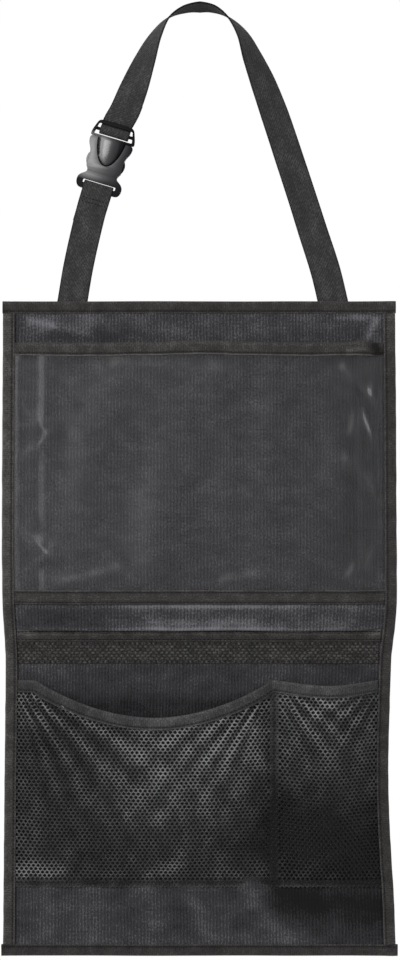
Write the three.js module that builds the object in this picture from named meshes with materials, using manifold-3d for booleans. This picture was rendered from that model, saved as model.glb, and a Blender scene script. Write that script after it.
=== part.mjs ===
// A hanging organizer for the back of a car seat, in millimetres, +Z up.
// A bound fabric panel carries a clear window pocket with a fabric gusset, a knitted strip and a
// two-bay net pocket. A webbing loop with a side-release buckle goes over the headrest.
// The origin is the middle of the panel's flat back face, and the pockets face -Y.

import * as THREE from 'three';
import { mergeVertices } from 'three/addons/utils/BufferGeometryUtils.js';
import Module from 'manifold-3d';

const wasm = await Module();
wasm.setup();

// Driving dimensions of the panel and its bindings
const panelWidth = 302;
const panelHeight = 500.5;
const panelThickness = 1.2;
const clearance = 0.3;
const bindingWidth = 8.7;
const bindingThickness = 0.7;
const topBindingHeight = 9;
const bottomBindingHeight = 8.5;
const bindingOverhang = 1.5;

// Outer edge of the side bindings as shares of half the height and half the width: the waist is
// drawn in, and the right side more than the left
const rightEdgePoints = [
  [1, 0.991], [0.7, 0.997], [0.32, 1], [0.088, 1.002], [0.008, 0.9935], [-0.048, 0.9775],
  [-0.188, 0.9675], [-0.44, 0.958], [-0.64, 0.968], [-0.831, 0.9875], [-1, 0.996],
];
const leftEdgePoints = [
  [1, -0.991], [0.392, -0.997], [0.096, -0.995], [-0.008, -0.986], [-0.088, -0.978],
  [-0.24, -0.9795], [-0.44, -0.9835], [-0.72, -0.9875], [-1, -0.992],
];

// Driving dimensions of the clear window pocket
const filmThickness = 0.4;
const tapeThickness = 0.6;
const windowTop = 218.5;
const mouthHemHeight = 8.6;
const baseTapeTop = 29.5;
const baseTapeHeight = 10.7;
const windowDepth = 10;
const windowShoulder = 24;
const hemWave = 0.8;
const gussetThickness = 0.6;
const gussetTuck = 2.2;
const gussetSwell = 3.4;
const seamTapeTop = -0.6;
const seamTapeHeight = 9.4;
const knitStripHeight = 16.2;
const knitStripThickness = 1.4;
const knitRowCount = 7;
const knitRowRise = 0.45;

// Driving dimensions of the net pockets
const netThickness = 0.6;
const netBottom = -194;
const netSeamAllowance = 4;
const dividerX = 57.4;
const dividerWidth = 4;
const wideBayDepth = 24;
const narrowBayDepth = 38;
const mouthHeight = -39.5;
const wideBayDip = 27.5;
const narrowBayDip = 2.5;
const mouthBindingHeight = 9;
const netRows = 7;
const wideBayColumns = 9;
const narrowBayColumns = 8;
const netStrand = 0.16;

// Driving dimensions of the headrest strap
const loopHeight = 225.9;
const webbingWidth = 23;
const webbingThickness = 1.3;
const anchorOverlap = 34;
const tailShare = 0.5;
const foldedTailLength = 30;

// Driving dimensions of the side-release buckle, in its own axes: across u, along v
const buckleShareAcross = -0.467;
const buckleShareUp = 0.484;
const buckleLean = 16.7;
const shellThickness = 9.4;
const baseThickness = 5.2;
const wallThickness = 1.8;
const cavityHalfWidth = 12;
const mouthV = 14;
const windowTopV = 1.6;
const windowBottomV = -9;
const tongueTopV = 14.4;
const tongueTipV = -5.9;
const tongueHalfWidth = 10.4;
const tongueCrown = 2;
const slotHalfWidth = 12.9;
const slotTopV = -19.4;
const slotBottomV = -22.3;
const frameThickness = 5;
const frameTopV = 28;
const frameWindowTopV = 25.2;
const frameWindowBottomV = 16.2;
const crossBarV = 20.5;
const crossBarRadius = 1.25;
const springArmThickness = 4.6;

// Positions that follow from the driving dimensions
const halfWidth = panelWidth / 2;
const panelTop = panelHeight / 2;
const panelBottom = -panelHeight / 2;
const buckleX = buckleShareAcross * halfWidth;
const buckleZ = panelTop + buckleShareUp * loopHeight;
const tapeStack = tapeThickness + 2 * clearance;
const filmRest = panelThickness + tapeStack + filmThickness / 2;
const netRest = panelThickness + tapeStack + netThickness / 2;
const bindingFront = netRest + netThickness / 2 + clearance;
const webbingY = clearance + bindingThickness + clearance + webbingThickness / 2;
const lockBackY = frameThickness / 2 + clearance + webbingThickness / 2;
const buckleY = webbingY - lockBackY;

function fabric(color) {
  return new THREE.MeshStandardMaterial({ color, roughness: 0.9, metalness: 0 });
}

const panelFabric = fabric(0x434247);
const tapeFabric = fabric(0x3a3736);
const knitFabric = fabric(0x373432);
const netFabric = fabric(0x2c2c2e);
const webbingFabric = fabric(0x403e3f);
const clearFilm = new THREE.MeshStandardMaterial({
  color: 0xb9bcc2, roughness: 0.12, metalness: 0, transparent: true, opacity: 0.3,
});
const glossPlastic = new THREE.MeshStandardMaterial({
  color: 0x1d1c20, roughness: 0.25, metalness: 0,
});

const clamp01 = (value) => Math.min(1, Math.max(0, value));
const smooth = (value) => value * value * (3 - 2 * value);

// Outer edge of a side binding at a height, on a smooth curve through its points
function edgeCurve(points) {
  const curve = new THREE.SplineCurve(points.map(([up, out]) => (
    new THREE.Vector2(up * panelTop, out * halfWidth)
  )));
  const table = curve.getPoints(120);
  return (z) => {
    const next = table.findIndex((point) => point.x <= z);
    if (next <= 0) return next === 0 ? table[0].y : table[table.length - 1].y;
    const a = table[next - 1];
    const b = table[next];
    return a.y + (b.y - a.y) * ((z - a.x) / (b.x - a.x));
  };
}

const rightEdge = edgeCurve(rightEdgePoints);
const leftEdge = edgeCurve(leftEdgePoints);

function indexedGeometry(positions, triangles) {
  const geometry = new THREE.BufferGeometry();
  geometry.setAttribute('position', new THREE.Float32BufferAttribute(positions, 3));
  geometry.setIndex(triangles);
  return faceOutwards(geometry);
}

// Turns the triangles over when the enclosed volume comes out negative
function faceOutwards(geometry) {
  const position = geometry.getAttribute('position');
  const index = geometry.getIndex();
  const [a, b, c] = [new THREE.Vector3(), new THREE.Vector3(), new THREE.Vector3()];
  let volume = 0;
  for (let i = 0; i < index.count; i += 3) {
    a.fromBufferAttribute(position, index.getX(i));
    b.fromBufferAttribute(position, index.getX(i + 1));
    c.fromBufferAttribute(position, index.getX(i + 2));
    volume += a.dot(b.cross(c));
  }
  if (volume < 0) {
    for (let i = 0; i < index.count; i += 3) {
      const first = index.getX(i);
      index.setX(i, index.getX(i + 1));
      index.setX(i + 1, first);
    }
  }
  geometry.computeVertexNormals();
  return geometry;
}

// A closed solid through matching outlines: place(i, point) puts point of outline i in space
function loft(outlines, place) {
  const count = outlines[0].length;
  const positions = [];
  const triangles = [];
  outlines.forEach((outline, i) => {
    for (const point of outline) positions.push(...place(i, point).toArray());
  });
  for (let i = 0; i + 1 < outlines.length; i += 1) {
    for (let j = 0; j < count; j += 1) {
      const a = i * count + j;
      const b = i * count + ((j + 1) % count);
      triangles.push(a, b, b + count, a, b + count, a + count);
    }
  }
  const last = (outlines.length - 1) * count;
  const winding = THREE.ShapeUtils.area(outlines[0]) > 0 ? 1 : -1;
  for (const [a, b, c] of THREE.ShapeUtils.triangulateShape(outlines[0], [])) {
    triangles.push(...(winding > 0 ? [c, b, a] : [a, b, c]));
  }
  for (const [a, b, c] of THREE.ShapeUtils.triangulateShape(outlines.at(-1), [])) {
    triangles.push(...(winding > 0 ? [last + a, last + b, last + c] : [last + c, last + b, last + a]));
  }
  return indexedGeometry(positions, triangles);
}

// A flat pattern of triangles given a thickness on the surface that place(u, v) describes
function thicken(points, triangles, place, thickness) {
  const step = 0.05;
  const positions = [];
  for (const side of [0.5, -0.5]) {
    for (const [u, v] of points) {
      const centre = place(u, v);
      const alongU = place(u + step, v).sub(place(u - step, v));
      const alongV = place(u, v + step).sub(place(u, v - step));
      const normal = alongU.cross(alongV).normalize();
      positions.push(...centre.addScaledVector(normal, side * thickness).toArray());
    }
  }
  const back = points.length;
  const edges = new Map();
  const faces = [];
  for (const [a, b, c] of triangles) {
    faces.push(a, b, c, back + c, back + b, back + a);
    for (const [from, to] of [[a, b], [b, c], [c, a]]) {
      if (!edges.delete(`${to},${from}`)) edges.set(`${from},${to}`, [from, to]);
    }
  }
  for (const [from, to] of edges.values()) {
    faces.push(from, back + from, back + to, from, back + to, to);
  }
  return indexedGeometry(positions, faces);
}

// A grid of quads for thicken, on lines at the given values
function gridPattern(us, vs) {
  const points = [];
  const triangles = [];
  for (const v of vs) for (const u of us) points.push([u, v]);
  for (let j = 0; j + 1 < vs.length; j += 1) {
    for (let i = 0; i + 1 < us.length; i += 1) {
      const a = j * us.length + i;
      const b = a + us.length;
      triangles.push([a, a + 1, b + 1], [a, b + 1, b]);
    }
  }
  return { points, triangles };
}

function toManifold(geometry) {
  const bare = geometry.clone();
  bare.deleteAttribute('normal');
  bare.deleteAttribute('uv');
  const merged = mergeVertices(bare, 1e-4);
  return new wasm.Manifold(new wasm.Mesh({
    numProp: 3,
    vertProperties: merged.getAttribute('position').array,
    triVerts: new Uint32Array(merged.getIndex().array),
  }));
}

function fromManifold(solid) {
  const mesh = solid.getMesh();
  const geometry = new THREE.BufferGeometry();
  geometry.setAttribute('position', new THREE.BufferAttribute(mesh.vertProperties, 3));
  geometry.setIndex(new THREE.BufferAttribute(mesh.triVerts, 1));
  geometry.computeVertexNormals();
  return geometry;
}

function piece(name, geometry, material) {
  const mesh = new THREE.Mesh(geometry, material);
  mesh.name = name;
  return mesh;
}

// The fabric panel inside its bindings, with the waist of the side edges. Its back has a flat
// patch round the origin that touches no binding and no strap.
function makeBackPanel() {
  const inset = bindingThickness + 2 * clearance;
  const patch = { left: -40, right: 80, bottom: -14, top: 7 };
  const steps = 10;
  const rows = [];
  for (let i = 0; i <= steps; i += 1) {
    const share = i / steps;
    rows.push(panelBottom + inset + (patch.bottom - panelBottom - inset) * share);
    rows.push(patch.top + (panelTop - inset - patch.top) * share);
  }
  rows.sort((a, b) => a - b);
  const margin = bindingWidth + clearance;
  const columns = ['leftEdge', 'leftBinding', 'patchLeft', 'patchRight', 'rightBinding', 'rightEdge'];
  const line = {
    leftEdge: (z) => leftEdge(z) + inset,
    leftBinding: (z) => leftEdge(z) + margin,
    patchLeft: () => patch.left,
    patchRight: () => patch.right,
    rightBinding: (z) => rightEdge(z) - margin,
    rightEdge: (z) => rightEdge(z) - inset,
  };
  const { points, triangles } = gridPattern(columns.map((_, i) => i), rows);
  const surface = (column, z) => {
    const lower = Math.min(columns.length - 2, Math.max(0, Math.floor(column)));
    const from = line[columns[lower]](z);
    const to = line[columns[lower + 1]](z);
    return new THREE.Vector3(from + (to - from) * (column - lower), -panelThickness / 2, z);
  };
  return piece('back_panel', thicken(points, triangles, surface, panelThickness), panelFabric);
}

// Section of a tape folded over an edge: reach inwards, then depth from front to back
function foldedTape(reach, thickness, front, back) {
  const crown = thickness * 0.6;
  return [
    [reach, front], [crown, front], [0, front + crown], [0, back - crown], [crown, back],
    [reach, back], [reach, back - thickness], [thickness, back - thickness],
    [thickness, front + thickness], [reach, front + thickness],
  ].map(([inwards, y]) => new THREE.Vector2(inwards, y));
}

// A side binding follows the edge from the bottom binding to the top one
function makeSideBinding(name, edge, inwards) {
  const top = panelTop - topBindingHeight - clearance;
  const bottom = panelBottom + bottomBindingHeight + clearance;
  const steps = 24;
  const front = -(bindingFront + bindingThickness);
  const back = clearance + bindingThickness;
  const section = foldedTape(bindingWidth, bindingThickness, front, back);
  const outlines = Array.from({ length: steps + 1 }, () => section);
  const binding = loft(outlines, (i, point) => {
    const z = top + (bottom - top) * (i / steps);
    return new THREE.Vector3(edge(z) + inwards * point.x, point.y, z);
  });
  return piece(name, binding, tapeFabric);
}

// The top and bottom bindings run straight past the ends of the side bindings
function makeEndBinding(name, edgeZ, inwards, height, overhang) {
  const front = -(panelThickness + clearance + bindingThickness);
  const back = clearance + bindingThickness;
  const section = foldedTape(height, bindingThickness, front, back);
  const ends = [leftEdge(edgeZ) - overhang, rightEdge(edgeZ) + overhang];
  const binding = loft([section, section], (i, point) => (
    new THREE.Vector3(ends[i], point.y, edgeZ + inwards * point.x)
  ));
  return piece(name, binding, tapeFabric);
}

// How far a surface between two edges stands out: 0 at the edges, 1 over the flat middle
function plateau(x, left, right, shoulder) {
  return smooth(clamp01((x - left) / shoulder)) * smooth(clamp01((right - x) / shoulder));
}

const innerLeft = (z) => leftEdge(z) + bindingWidth + clearance;
const innerRight = (z) => rightEdge(z) - bindingWidth - clearance;
const windowMiddle = (windowTop + seamTapeTop) / 2;
const windowLeft = innerLeft(windowMiddle);
const windowRight = innerRight(windowMiddle);

function windowStandOff(x) {
  return windowDepth * plateau(x, windowLeft, windowRight, windowShoulder);
}

// Lines across the window pocket, closer together over its two shoulders
function windowColumns(left, right) {
  const shoulderSteps = 6;
  const middleSteps = 10;
  const columns = [left];
  const spans = [
    [left, left + windowShoulder, shoulderSteps],
    [left + windowShoulder, right - windowShoulder, middleSteps],
    [right - windowShoulder, right, shoulderSteps],
  ];
  for (const [from, to, steps] of spans) {
    for (let i = 1; i <= steps; i += 1) columns.push(from + (to - from) * (i / steps));
  }
  return columns;
}

const hemColumns = windowColumns(windowLeft, windowRight);
const seamReach = bindingWidth - 2 * clearance - bindingThickness;

// Moves the columns near a side with its binding, which isn't quite upright
function besideBinding(x, z) {
  const nearLeft = clamp01(1 - (x - windowLeft) / windowShoulder);
  const nearRight = clamp01(1 - (windowRight - x) / windowShoulder);
  return x + nearLeft * (innerLeft(z) - windowLeft) + nearRight * (innerRight(z) - windowRight);
}

// Columns for a tape of the window, cut off at the side bindings over its whole height
function columnsBetweenBindings(top, height) {
  const left = Math.max(innerLeft(top), innerLeft(top - height));
  const right = Math.min(innerRight(top), innerRight(top - height));
  return [left, ...hemColumns.slice(1, -1), right];
}

// The clear film, held at its sides under the side bindings
function makeWindowFilm() {
  const top = windowTop - 2 * tapeThickness - clearance;
  const bottom = baseTapeTop - baseTapeHeight + 2;
  const columns = [windowLeft - seamReach, ...hemColumns, windowRight + seamReach];
  const { points, triangles } = gridPattern(columns, [top, (top + bottom) / 2, bottom]);
  const surface = (column, z) => {
    const x = besideBinding(column, z);
    return new THREE.Vector3(x, -(filmRest + windowStandOff(x)), z);
  };
  return piece('window_film', thicken(points, triangles, surface, filmThickness), clearFilm);
}

// A tape along a pocket: section points are [out from the surface, up from the tape's line]
function tapeAlong(columns, section, standOff, lineHeight) {
  const step = 0.05;
  const outlines = columns.map(() => section);
  return loft(outlines, (i, point) => {
    const x = columns[i];
    const cutEnd = i === 0 || i === columns.length - 1;
    const slope = cutEnd ? 0 : (standOff(x + step) - standOff(x - step)) / (2 * step);
    const length = Math.hypot(1, slope);
    const out = new THREE.Vector3(-slope / length, -1 / length, 0);
    return new THREE.Vector3(x, -standOff(x), lineHeight(x) + point.y)
      .addScaledVector(out, point.x);
  });
}

// Section of a tape folded over the top edge of a sheet
function hemSection(height, sheetThickness) {
  const inner = sheetThickness / 2 + clearance;
  const outer = inner + tapeThickness;
  const crown = tapeThickness * 0.6;
  return [
    [-outer, -height], [-outer, -crown], [crown - outer, 0], [outer - crown, 0], [outer, -crown],
    [outer, -height], [inner, -height], [inner, -tapeThickness], [-inner, -tapeThickness],
    [-inner, -height],
  ].map(([out, up]) => new THREE.Vector2(out, up));
}

function makeMouthHem() {
  const section = hemSection(mouthHemHeight, filmThickness);
  const span = windowRight - windowLeft;
  const line = (x) => {
    const along = (x - windowLeft) / span;
    return windowTop - hemWave * Math.sin(along * Math.PI * 3) * Math.sin(along * Math.PI);
  };
  const standOff = (x) => filmRest + windowStandOff(x);
  const columns = columnsBetweenBindings(windowTop, mouthHemHeight);
  return piece('window_mouth_hem', tapeAlong(columns, section, standOff, line), tapeFabric);
}

function flatSection(thickness, height) {
  return [[0, -height], [0, 0], [thickness, 0], [thickness, -height]]
    .map(([out, up]) => new THREE.Vector2(out, up));
}

function makeBaseTape() {
  const section = flatSection(tapeThickness, baseTapeHeight);
  const standOff = (x) => filmRest + filmThickness / 2 + clearance + windowStandOff(x);
  const columns = columnsBetweenBindings(baseTapeTop, baseTapeHeight);
  const tape = tapeAlong(columns, section, standOff, () => baseTapeTop);
  return piece('window_base_tape', tape, tapeFabric);
}

// Fabric gusset under the window: it swells forward to a crease, then tucks back to the panel
function makeGusset() {
  const top = baseTapeTop - gussetTuck;
  const bottom = seamTapeTop - seamTapeHeight + gussetTuck;
  const tapeEnd = baseTapeTop - baseTapeHeight;
  const profile = [
    [top, windowDepth],
    [tapeEnd - 0.3, windowDepth],
    [tapeEnd * 0.84, windowDepth + gussetSwell * 0.5],
    [tapeEnd * 0.5, windowDepth + gussetSwell * 0.68],
    [tapeEnd * 0.2, windowDepth + gussetSwell * 0.85],
    [tapeEnd * 0.1, windowDepth + gussetSwell],
    [tapeEnd * 0.04, windowDepth + gussetSwell * 0.75],
    [tapeEnd * 0.02, windowDepth * 0.6],
    [0.1, 0],
    [bottom, 0],
  ];
  const rest = panelThickness + clearance + gussetThickness / 2;
  const reach = windowLeft - seamReach;
  const columns = [reach, ...hemColumns, windowRight + seamReach];
  const rows = profile.map((_, i) => i);
  const { points, triangles } = gridPattern(columns, rows);
  const surface = (column, row) => {
    const lower = Math.min(profile.length - 2, Math.max(0, Math.floor(row)));
    const share = row - lower;
    const [z0, out0] = profile[lower];
    const [z1, out1] = profile[lower + 1];
    const out = out0 + (out1 - out0) * share;
    const z = z0 + (z1 - z0) * share;
    const x = besideBinding(column, z);
    return new THREE.Vector3(x, -(rest + (out * windowStandOff(x)) / windowDepth), z);
  };
  return piece('window_gusset', thicken(points, triangles, surface, gussetThickness), panelFabric);
}

// Flat tapes across the waist of the panel, cut to meet the side bindings
function flatBand(name, section, top, rest, material) {
  const height = -Math.min(...section.map((point) => point.y));
  const left = Math.max(innerLeft(top), innerLeft(top - height));
  const right = Math.min(innerRight(top), innerRight(top - height));
  const band = tapeAlong([left, right], section, () => rest, () => top);
  return piece(name, band, material);
}

function makeSeamTape() {
  const rest = panelThickness + clearance + gussetThickness + clearance;
  const section = flatSection(tapeThickness, seamTapeHeight);
  return flatBand('gusset_seam_tape', section, seamTapeTop, rest, tapeFabric);
}

// Coarse knitted strip with a row of loops for each ridge
function makeKnitStrip() {
  const top = seamTapeTop - seamTapeHeight - clearance;
  const pitch = knitStripHeight / knitRowCount;
  const outline = [[0, -knitStripHeight], [0, 0]];
  for (let i = 0; i < knitRowCount; i += 1) {
    const crest = -(i + 0.5) * pitch;
    outline.push([knitStripThickness - knitRowRise, -i * pitch - 0.1]);
    outline.push([knitStripThickness, crest + pitch * 0.2], [knitStripThickness, crest - pitch * 0.2]);
  }
  outline.push([knitStripThickness - knitRowRise, -knitStripHeight]);
  const section = outline.map(([out, up]) => new THREE.Vector2(out, up));
  return flatBand('knit_strip', section, top, panelThickness + clearance, knitFabric);
}

// Height of the net's bound mouth: a deep dip over the wide bay, a shallow one over the other
function netMouth(x) {
  if (x > dividerX) {
    const along = clamp01((x - dividerX) / (innerRight(mouthHeight) - dividerX));
    return mouthHeight - narrowBayDip * Math.sin(along * Math.PI);
  }
  const middle = (dividerX + innerLeft(mouthHeight)) / 2 + 7;
  const half = dividerX - middle;
  const offCentre = Math.min(1, Math.abs(x - middle) / half);
  return mouthHeight - wideBayDip * (1 - offCentre ** 1.9);
}

// Forward bulge of the net over the panel
function netStandOff(x, z) {
  const edgeOfDivider = dividerWidth / 2;
  const inWideBay = x < dividerX;
  const left = inWideBay ? innerLeft(z) : dividerX + edgeOfDivider;
  const right = inWideBay ? dividerX - edgeOfDivider : innerRight(z);
  const across = Math.sin(Math.PI * clamp01((x - left) / (right - left)));
  const plan = inWideBay ? 1 - (1 - across) ** 1.6 : across ** 1.3;
  const depth = inWideBay ? wideBayDepth : narrowBayDepth;
  const straightTop = netMouth(x) - mouthBindingHeight - 2;
  const up = clamp01((z - netBottom) / (straightTop - netBottom));
  const belly = (1 - (1 - up) ** 3) * (1 + 0.22 * Math.sin(Math.PI * up));
  return netRest + depth * plan * belly;
}

// Columns of the net as shares of its width: margins under the bindings, bays and the divider
function netPlan() {
  const spans = [
    { from: 'leftSeam', to: 'leftBay', cells: 0 },
    { from: 'leftBay', to: 'dividerLeft', cells: wideBayColumns },
    { from: 'dividerLeft', to: 'dividerRight', cells: 0 },
    { from: 'dividerRight', to: 'rightBay', cells: narrowBayColumns },
    { from: 'rightBay', to: 'rightSeam', cells: 0 },
  ];
  const line = {
    leftSeam: (z) => innerLeft(z) - seamReach,
    leftBay: innerLeft,
    dividerLeft: () => dividerX - dividerWidth / 2,
    dividerRight: () => dividerX + dividerWidth / 2,
    rightBay: innerRight,
    rightSeam: (z) => innerRight(z) + seamReach,
  };
  const columns = [{ at: line.leftSeam, gap: false }];
  for (const { from, to, cells } of spans) {
    const steps = Math.max(1, cells * 2);
    for (let i = 1; i <= steps; i += 1) {
      const share = i / steps;
      const at = (z) => line[from](z) + (line[to](z) - line[from](z)) * share;
      columns.push({ at, gap: cells > 0 });
    }
  }
  return columns;
}

const netColumns = netPlan();

// One net over both bays, with diamond gaps between its strands
function makeNet() {
  const rowCount = 2 * netRows;
  const points = [];
  const triangles = [];
  const pointIndex = new Map();
  const point = (i, j) => {
    const key = `${i},${j}`;
    if (!pointIndex.has(key)) pointIndex.set(key, points.push([i, j]) - 1);
    return pointIndex.get(key);
  };
  const quad = (i, j, wide, high) => {
    const corners = [point(i, j), point(i + wide, j), point(i + wide, j + high), point(i, j + high)];
    triangles.push([corners[0], corners[1], corners[2]], [corners[0], corners[2], corners[3]]);
  };
  const meshCell = (i, j) => {
    const rim = [
      point(i, j), point(i + 1, j), point(i + 2, j), point(i + 2, j + 1),
      point(i + 2, j + 2), point(i + 1, j + 2), point(i, j + 2), point(i, j + 1),
    ];
    const strand = 2 * netStrand;
    const gap = [
      point(i + 1, j + strand), point(i + 2 - strand, j + 1),
      point(i + 1, j + 2 - strand), point(i + strand, j + 1),
    ];
    for (let side = 0; side < 4; side += 1) {
      const mid = rim[2 * side + 1];
      const corner = rim[(2 * side + 2) % 8];
      const nextMid = rim[(2 * side + 3) % 8];
      const nextGap = gap[(side + 1) % 4];
      triangles.push([mid, corner, gap[side]], [corner, nextGap, gap[side]]);
      triangles.push([corner, nextMid, nextGap]);
    }
  };
  const lastRow = rowCount + 2;
  for (let i = 0; i + 1 < netColumns.length; i += 1) {
    quad(i, 0, 1, 1);
    quad(i, rowCount + 1, 1, 1);
    for (let j = 1; j <= rowCount; j += 1) {
      if (!netColumns[i + 1].gap) quad(i, j, 1, 1);
    }
  }
  for (let i = 1; i + 1 < netColumns.length; i += 1) {
    const startsCell = netColumns[i + 1].gap && netColumns[i + 2].gap;
    if (!startsCell) continue;
    for (let j = 1; j < rowCount; j += 2) meshCell(i, j);
    i += 1;
  }
  const rowHeight = (row, x) => {
    const top = netMouth(x) - tapeThickness - clearance;
    const bandLine = netMouth(x) - mouthBindingHeight - 2;
    if (row <= 1) return netBottom - netSeamAllowance * (1 - row);
    if (row >= rowCount + 1) return bandLine + (top - bandLine) * (row - rowCount - 1);
    return netBottom + (bandLine - netBottom) * ((row - 1) / rowCount);
  };
  const columnPlace = (column, z) => {
    const lower = Math.min(netColumns.length - 2, Math.max(0, Math.floor(column)));
    const a = netColumns[lower].at(z);
    const b = netColumns[lower + 1].at(z);
    return a + (b - a) * (column - lower);
  };
  const surface = (column, row) => {
    const roughX = columnPlace(column, mouthHeight);
    const z = rowHeight(Math.min(lastRow, row), roughX);
    const x = columnPlace(column, z);
    return new THREE.Vector3(x, -netStandOff(x, z), z);
  };
  return piece('net_pockets', thicken(points, triangles, surface, netThickness), netFabric);
}

// Tape folded over the whole mouth of the net
function makeNetMouthBinding() {
  const section = hemSection(mouthBindingHeight, netThickness);
  const foot = mouthHeight - mouthBindingHeight;
  const columns = netColumns.slice(1, -1).map(({ at }) => at(mouthHeight));
  columns[0] = Math.max(innerLeft(mouthHeight), innerLeft(foot));
  columns[columns.length - 1] = Math.min(innerRight(mouthHeight), innerRight(foot));
  const standOff = (x) => netStandOff(x, netMouth(x));
  const binding = tapeAlong(columns, section, standOff, netMouth);
  return piece('net_mouth_binding', binding, tapeFabric);
}

// Webbing through stations of a centre point and a direction across its width
function ribbon(stations, substeps) {
  const curve = new THREE.CatmullRomCurve3(stations.map(({ centre }) => centre));
  const last = stations.length - 1;
  const places = [];
  for (let i = 0; i <= last * substeps; i += 1) {
    const share = i / (last * substeps);
    const lower = Math.min(last - 1, Math.floor(i / substeps));
    const mix = i / substeps - lower;
    const tangent = curve.getTangent(share);
    const across = stations[lower].across.clone().lerp(stations[lower + 1].across, mix);
    across.addScaledVector(tangent, -across.dot(tangent)).normalize();
    const face = tangent.clone().cross(across);
    places.push({ centre: curve.getPoint(share), across, face });
  }
  const half = webbingWidth / 2;
  const skin = webbingThickness / 2;
  const section = [[-half, -skin], [half, -skin], [half, skin], [-half, skin]]
    .map(([a, b]) => new THREE.Vector2(a, b));
  return loft(places.map(() => section), (i, point) => (
    places[i].centre.clone()
      .addScaledVector(places[i].across, point.x)
      .addScaledVector(places[i].face, point.y)
  ));
}

const buckleMatrix = new THREE.Matrix4()
  .makeRotationY(THREE.MathUtils.degToRad(buckleLean))
  .setPosition(buckleX, buckleY, buckleZ);
const buckleAcross = new THREE.Vector3(1, 0, 0).transformDirection(buckleMatrix);

// A station on the buckle, from its own axes
function buckleStation(y, v) {
  return { centre: new THREE.Vector3(0, y, v).applyMatrix4(buckleMatrix), across: buckleAcross };
}

// Centre line of the free loop from the right anchor over the top, as [share of half the panel's
// width, share of the loop's height, twist in degrees]
const loopPoints = [
  [0.678, 0.006, 0], [0.641, 0.108, 3], [0.576, 0.2435, 10], [0.528, 0.345, 14],
  [0.4545, 0.495, 16], [0.3855, 0.6335, 20], [0.3245, 0.745, 33], [0.272, 0.83, 52],
  [0.221, 0.9085, 73], [0.15, 0.9655, 90], [0.0795, 0.993, 101], [0.0055, 1, 107],
  [-0.076, 0.992, 101], [-0.155, 0.964, 90], [-0.2225, 0.9, 70], [-0.279, 0.813, 46],
  [-0.3335, 0.719, 20], [-0.378, 0.646, 2],
];

// Stations of the free loop: across points to the inside of the loop, twisted to the front
function loopStations() {
  const place = loopPoints.map(([out, up]) => (
    new THREE.Vector2(out * halfWidth, panelTop + up * loopHeight)
  ));
  return loopPoints.map(([, , twist], i) => {
    const before = place[Math.max(0, i - 1)];
    const after = place[Math.min(place.length - 1, i + 1)];
    const along = after.clone().sub(before).normalize();
    const angle = THREE.MathUtils.degToRad(twist);
    const inner = new THREE.Vector3(-along.y, 0, along.x);
    const back = new THREE.Vector3(0, 1, 0);
    const across = inner.clone().multiplyScalar(Math.cos(angle))
      .addScaledVector(back, -Math.sin(angle));
    const behind = back.multiplyScalar(Math.cos(angle)).addScaledVector(inner, Math.sin(angle));
    return { centre: new THREE.Vector3(place[i].x, webbingY, place[i].y), across, behind };
  });
}

// The loose tail lies behind the strap, from the ladder lock upwards
function tailStations(loop) {
  const offset = webbingThickness + 2 * clearance;
  const shifted = loop.slice(-2).reverse().map(({ centre, across, behind }) => (
    { centre: centre.clone().addScaledVector(behind, offset), across }
  ));
  const end = {
    centre: shifted[0].centre.clone().lerp(shifted[1].centre, tailShare),
    across: shifted[0].across.clone().lerp(shifted[1].across, tailShare),
  };
  return [shifted[0], end];
}

// Long webbing: sewn at the right, over the headrest, through the ladder lock to its tail
function makeLoopStrap() {
  const anchorAcross = new THREE.Vector3(-1, 0, -0.25).normalize();
  const anchor = [[0.7325, 1], [0.7045, 0.5]].map(([out, share]) => ({
    centre: new THREE.Vector3(out * halfWidth, webbingY, panelTop - anchorOverlap * share),
    across: anchorAcross,
  }));
  const overBar = crossBarRadius + clearance + webbingThickness / 2;
  const tailY = lockBackY + webbingThickness + clearance;
  const aroundBar = overBar + 0.45;
  const lock = [
    buckleStation(lockBackY, frameTopV),
    buckleStation(lockBackY, frameWindowTopV),
    buckleStation(lockBackY * 0.86, frameWindowTopV - 1.1),
    buckleStation(lockBackY * 0.48, frameWindowTopV - 1.75),
    buckleStation(0, crossBarV + aroundBar),
    buckleStation(-aroundBar * 0.5, crossBarV + aroundBar * 0.87),
    buckleStation(-aroundBar * 0.84, crossBarV + aroundBar * 0.52),
    buckleStation(-overBar - 0.15, crossBarV),
    buckleStation(-aroundBar * 0.84, crossBarV - aroundBar * 0.52),
    buckleStation(-aroundBar * 0.5, crossBarV - aroundBar * 0.87),
    buckleStation(0, crossBarV - aroundBar),
    buckleStation(tailY * 0.42, crossBarV - aroundBar - 0.1),
    buckleStation(tailY * 0.76, crossBarV - aroundBar * 0.9),
    buckleStation(tailY, crossBarV - aroundBar * 0.4),
    buckleStation(tailY, frameWindowTopV),
    buckleStation(tailY, frameTopV),
  ];
  const loop = loopStations();
  const strap = ribbon([...anchor, ...loop, ...lock, ...tailStations(loop)], 3);
  return piece('loop_strap', strap, webbingFabric);
}

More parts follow.
